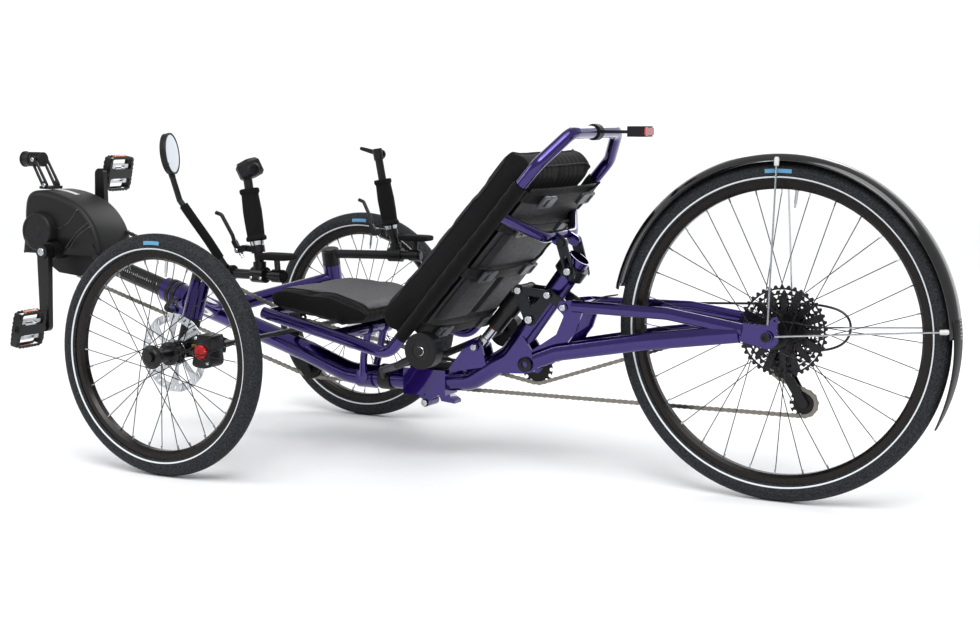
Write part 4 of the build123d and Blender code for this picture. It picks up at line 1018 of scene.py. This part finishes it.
# ---------------------------------------------------------------- fender
AXLE_Z = 319.5
side_y = np.linspace(-30, 30, 33)
out = 335.5 - 14.0 * np.abs(side_y / 30) ** 3.2
a = np.radians(np.linspace(12, 178, 150))
skin = np.stack([-out * np.cos(np.pi - a)[:, None], np.broadcast_to(side_y, (150, 33)),
                 AXLE_Z + out * np.sin(a)[:, None]], -1)
fender = piece("fender_shell", "swing", GLOSS, net(skin), replaces=("fender",), angle=70)
thickened(fender, 0.0018, -1.0)
# The mudflap goes on round the tyre: r falls a little and its half width narrows to a tip.
s, y = np.meshgrid(np.linspace(0, 1, 40), np.linspace(-1, 1, 21), indexing="ij")
q = np.radians(8 - 36 * s)
half = np.interp(s, [0, 0.55, 0.85, 1], [26, 25, 17, 5])
r = 333.0 - 7 * np.abs(y) ** 3 * (1 - s)
flap = piece("mudflap", "swing", MOULDED,
             net(np.stack([-r * np.cos(q), y * half, AXLE_Z + r * np.sin(q)], -1)), angle=70)
thickened(flap, 0.0025, 1.0)
bracket = carried(smooth_line([(392, 0, 350), (360, 0, 366), (330, 0, 372)]), oblong(16, 3, 1.2),
                  across=(0, 1, 0))
piece("fender_bracket", "swing", ANODISED, bracket)
wires, clips = [], []
for foot, head in (((-2, 74, 342), (2, 31.6, 645)), ((-16, 74, 322), (-318, 31.6, 345))):
    wires.append(pair(carried(np.linspace(foot, head, 8), circle(1.8, 10))))
    e = np.subtract(head, foot) / np.linalg.norm(np.subtract(head, foot))
    clip = turned(np.array(head) - e * 14, head, [(0, 0), (0, 4.5), (12, 5), (16, 3.5), (16, 0)], 12)
    clips.append(pair(clip))
piece("fender_stays", "swing", SILVER, *wires)
piece("stay_clips", "swing", PALE, *clips)

# ---------------------------------------------------------------- bolts, bands, lamps and glass
BOLTS = {  # body, finish, and for each bolt its (x, z), the y it stands on, its radius and its height
    "lamp_bolts": ("boom", SILVER, ((1806, 610), 21.5, 5, 3), ((1772, 551), 21.5, 5, 3)),
    "fold_bolts": ("rear_section", SILVER, ((750, 126), 25, 7, 3)),
    "shock_bolts": ("rear_section", SILVER, ((633, 251), 27, 6.5, 3)),
    "link_bolts": ("swing", SILVER, ((425, 346), 46, 6.5, 3)),
    "axle_caps": ("swing", BLACK_STEEL, ((0, 319.5), 77, 9, 5)),
    "rocker_bolts": ("rocker_arm", SILVER, ((505, 316), 33, 8, 4), ((530, 373), 32, 7, 4),
                     ((462, 368), 39, 7, 4)),
    "slot_bolts": ("rear_section", SILVER, ((417, 417), 43, 7, 4)),
    "puck_bolts": ("front_frame", SILVER, ((662, 262), 191, 9, 4)),
}
for name, (body, finish, *heads) in BOLTS.items():
    piece(name, body, finish, *[pair(bolt(*head)) for head in heads])
ringed = turned((662, 191, 262), (662, 192, 262), [(0, 18), (1.0, 18), (1.0, 34), (0, 34)], 60, hollow=True)
piece("puck_faces", "front_frame", MOULDED, pair(ringed))
piece("shock_ring", "shock_upper", RED,
      turned((598, 0, 292.4), (598.645, 0, 291.636), [(0, 10.1), (0, 12.4), (3, 12.4), (3, 10.1)], 32,
             hollow=True))
FACE = np.array([-0.93, -0.33, 0.12]) / np.linalg.norm([-0.93, -0.33, 0.12])
C = np.array([1172.0, 317.0, 640.0])
piece("mirror_face", "mirror", GLASS,
      turned(C + FACE * 9, C + FACE * 10, [(0, 0), (0, 37), (0.8, 37.5), (1.0, 36), (1.3, 0)], 60))
piece("mirror_rim", "mirror", MOULDED,
      turned(C + FACE * 7, C + FACE * 8, [(0, 37.6), (0, 42), (3.5, 41.5), (3.5, 38)], 60, hollow=True))
piece("headlight_glass", "lamp", DISPLAY,
      turned((1850, 0, 610), (1851, 0, 610), [(0, 0), (0, 15), (1.2, 14), (2.2, 9), (2.6, 0)], 40))
piece("tail_lens", "seat", LENS, slab(oblong(44, 15, 4), (267, 0, 690), (1, 0, 0), 3, side=(0, 1, 0)))

# ---------------------------------------------------------------- camera, light and floor
YAW, PITCH, ROLL = 0.4856, 0.1246, 0.0032
ahead = Vector((math.sin(YAW) * math.cos(PITCH), -math.cos(YAW) * math.cos(PITCH), -math.sin(PITCH)))
right = ahead.cross(Vector((0, 0, 1))).normalized()
up = right.cross(ahead)
right, up = math.cos(ROLL) * right + math.sin(ROLL) * up, math.cos(ROLL) * up - math.sin(ROLL) * right
camera = linked("camera", bpy.data.cameras.new("camera"))
camera.data.sensor_width, camera.data.lens = 36.0, 61.37
camera.matrix_world = Matrix((
    (right.x, up.x, -ahead.x, -1.7217), (right.y, up.y, -ahead.y, 2.9826), (right.z, up.z, -ahead.z, 0.7379),
    (0, 0, 0, 1)))
bpy.context.scene.camera = camera

world = bpy.data.worlds.new("studio")
world.use_nodes = True
world.node_tree.nodes["Background"].inputs[0].default_value = linear("#f4f5f7")
world.node_tree.nodes["Background"].inputs[1].default_value = 0.6
bpy.context.scene.world = world
for name, at, size, power_w in (("key", (-1.6, 2.6, 3.2), 1.6, 42), ("fill", (2.6, 1.8, 2.0), 1.2, 16),
                                ("back", (0.2, -2.8, 2.6), 1.8, 30)):
    lamp = linked(name, bpy.data.lights.new(name, "AREA"))
    lamp.data.size, lamp.data.energy = size, power_w
    lamp.location = at
    lamp.rotation_euler = (Vector((0, 0, 0.35)) - Vector(at)).to_track_quat("-Z", "Y").to_euler()
sky = linked("sky", bpy.data.lights.new("sky", "SUN"))
sky.data.energy, sky.data.angle = 1.9, math.radians(50)
sky.rotation_euler = Vector((-0.35, 0.55, 1.0)).to_track_quat("Z", "Y").to_euler()
# The floor runs level for 12 m and then bends up in an arc of 7 m to a wall 14 m high, far behind the object.
q = np.radians(np.linspace(0, 90, 40))
LEVEL, BEND = 12.0, 7.0
along_floor = np.r_[-14.0, LEVEL + BEND * np.sin(q), LEVEL + BEND]
height = np.r_[0.0, BEND - BEND * np.cos(q), 14.0]
floor_mesh = bpy.data.meshes.new("floor")
bend = [(ahead.x * d + right.x * w, ahead.y * d + right.y * w, z)
        for d, z in zip(along_floor, height) for w in (-30, 30)]
floor_mesh.from_pydata(bend, [], [(2 * k, 2 * k + 1, 2 * k + 3, 2 * k + 2) for k in range(len(height) - 1)])
floor_mesh.shade_smooth()
floor_mesh.materials.append(finish_of("matt_studio_floor", "#eeeff0", "#f6f6f7", 400.0, (0.8, 0.9)))
linked("floor", floor_mesh)
bpy.context.scene.view_settings.view_transform = "Standard"
